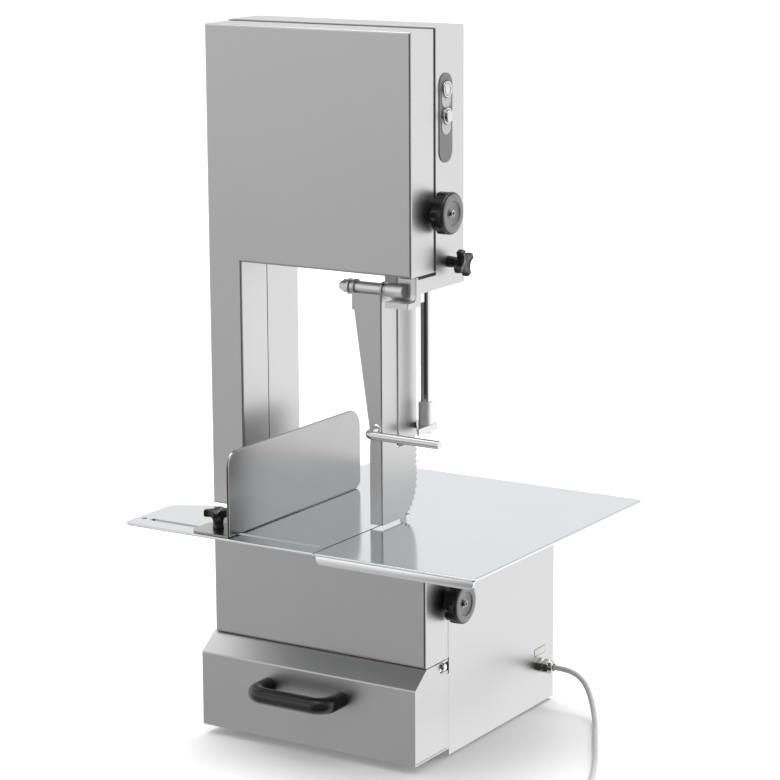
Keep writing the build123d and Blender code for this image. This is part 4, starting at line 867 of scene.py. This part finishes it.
class Sky:
    """Builds the surround's strength from the direction that a ray goes in."""

    def __init__(self):
        world = bpy.data.worlds.new("studio")
        bpy.context.scene.world = world
        world.use_nodes = True
        self.tree = world.node_tree
        self.background = self.tree.nodes["Background"]
        self.direction = self.tree.nodes.new("ShaderNodeTexCoord").outputs["Generated"]

    def along(self, axis):
        """How far the direction points along an axis, from -1 to 1."""
        node = self.tree.nodes.new("ShaderNodeVectorMath")
        node.operation = "DOT_PRODUCT"
        node.inputs[1].default_value = Vector(axis).normalized()
        self.tree.links.new(self.direction, node.inputs[0])
        return node.outputs["Value"]

    def ramp(self, value, start, end, first, last, smooth=False):
        node = self.tree.nodes.new("ShaderNodeMapRange")
        if smooth:
            node.interpolation_type = "SMOOTHSTEP"
        for key, number in (("From Min", start), ("From Max", end), ("To Min", first),
                            ("To Max", last)):
            node.inputs[key].default_value = number
        self.tree.links.new(value, node.inputs["Value"])
        return node.outputs["Result"]

    def combine(self, operation, first, second):
        node = self.tree.nodes.new("ShaderNodeMath")
        node.operation = operation
        self.tree.links.new(first, node.inputs[0])
        self.tree.links.new(second, node.inputs[1])
        return node.outputs["Value"]

    def at_least(self, value, floor):
        node = self.tree.nodes.new("ShaderNodeMath")
        node.operation = "MAXIMUM"
        node.inputs[1].default_value = floor
        self.tree.links.new(value, node.inputs[0])
        return node.outputs["Value"]


def light():
    """A softbox above and a soft surround: bright behind and to the right, shaded in front."""
    soft_light("top_softbox", SOFTBOX_PLACE, LIGHT_TARGET, SOFTBOX_SIZE, TOP_POWER)
    sky = Sky()
    back_right = sky.along(BRIGHT_SIDE)
    height = sky.along((0, 0, 1))
    side = sky.ramp(back_right, -1, 1, FRONT_SHADE, BACK_GLOW)
    tilt = sky.combine("MULTIPLY", sky.ramp(back_right, -1, 1, 1, -0.2),
                       sky.ramp(height, -0.40, 0.10, -0.45, 0.50))
    total = sky.combine("ADD", side, tilt)
    # each patch fades in between two values of how far a ray points along its direction
    patches = [
        sky.ramp(height, 0.28, 0.50, 0.0, -BEND_SHADE, smooth=True),
        sky.ramp(height, 0.70, 0.97, 0.0, BEND_SHADE + OVERHEAD_GLOW, smooth=True),
        sky.ramp(height, -0.45, -0.95, 0.0, -UNDER_SHADE, smooth=True),
        sky.ramp(sky.along(DARK_SIDE), 0.52, 0.84, 0.0, -DARK_DEPTH, smooth=True),
        sky.ramp(sky.along(BACK_LEFT), 0.42, 0.98, 0.0, -BACK_LEFT_SHADE, smooth=True),
    ]
    for patch in patches:
        total = sky.combine("ADD", total, patch)
    total = sky.at_least(total, DARKEST)
    sky.tree.links.new(total, sky.background.inputs["Strength"])
    sky.background.inputs["Color"].default_value = (1, 1, 1, 1)


def camera():
    right = Vector((math.cos(CAMERA_AZIMUTH), math.sin(CAMERA_AZIMUTH), 0))
    back = Vector((
        math.sin(CAMERA_AZIMUTH) * math.cos(CAMERA_ELEVATION),
        -math.cos(CAMERA_AZIMUTH) * math.cos(CAMERA_ELEVATION),
        math.sin(CAMERA_ELEVATION),
    ))
    up = back.cross(right)
    tilted = right * math.cos(CAMERA_ROLL) + up * math.sin(CAMERA_ROLL)
    upright = up * math.cos(CAMERA_ROLL) - right * math.sin(CAMERA_ROLL)
    data = bpy.data.cameras.new("camera")
    data.lens = CAMERA_LENS
    data.sensor_width = 36.0
    data.shift_x = CAMERA_SHIFT
    data.clip_end = 200
    piece = bpy.data.objects.new("camera", data)
    bpy.context.scene.collection.objects.link(piece)
    turn = Matrix((tilted, upright, back)).transposed().to_4x4()
    piece.matrix_world = Matrix.Translation(CAMERA_PLACE) @ turn
    bpy.context.scene.camera = piece
    bpy.context.scene.view_settings.view_transform = "Standard"


camera()
stage()
light()
dress_nodes()
dress_cord()
lock_knobs()
small_knobs()
push_buttons()
rating_label()
cable_gland()
toothed_band()
weld_bead()
door_edging()
drawer_edging()
lip_painted_highlight()
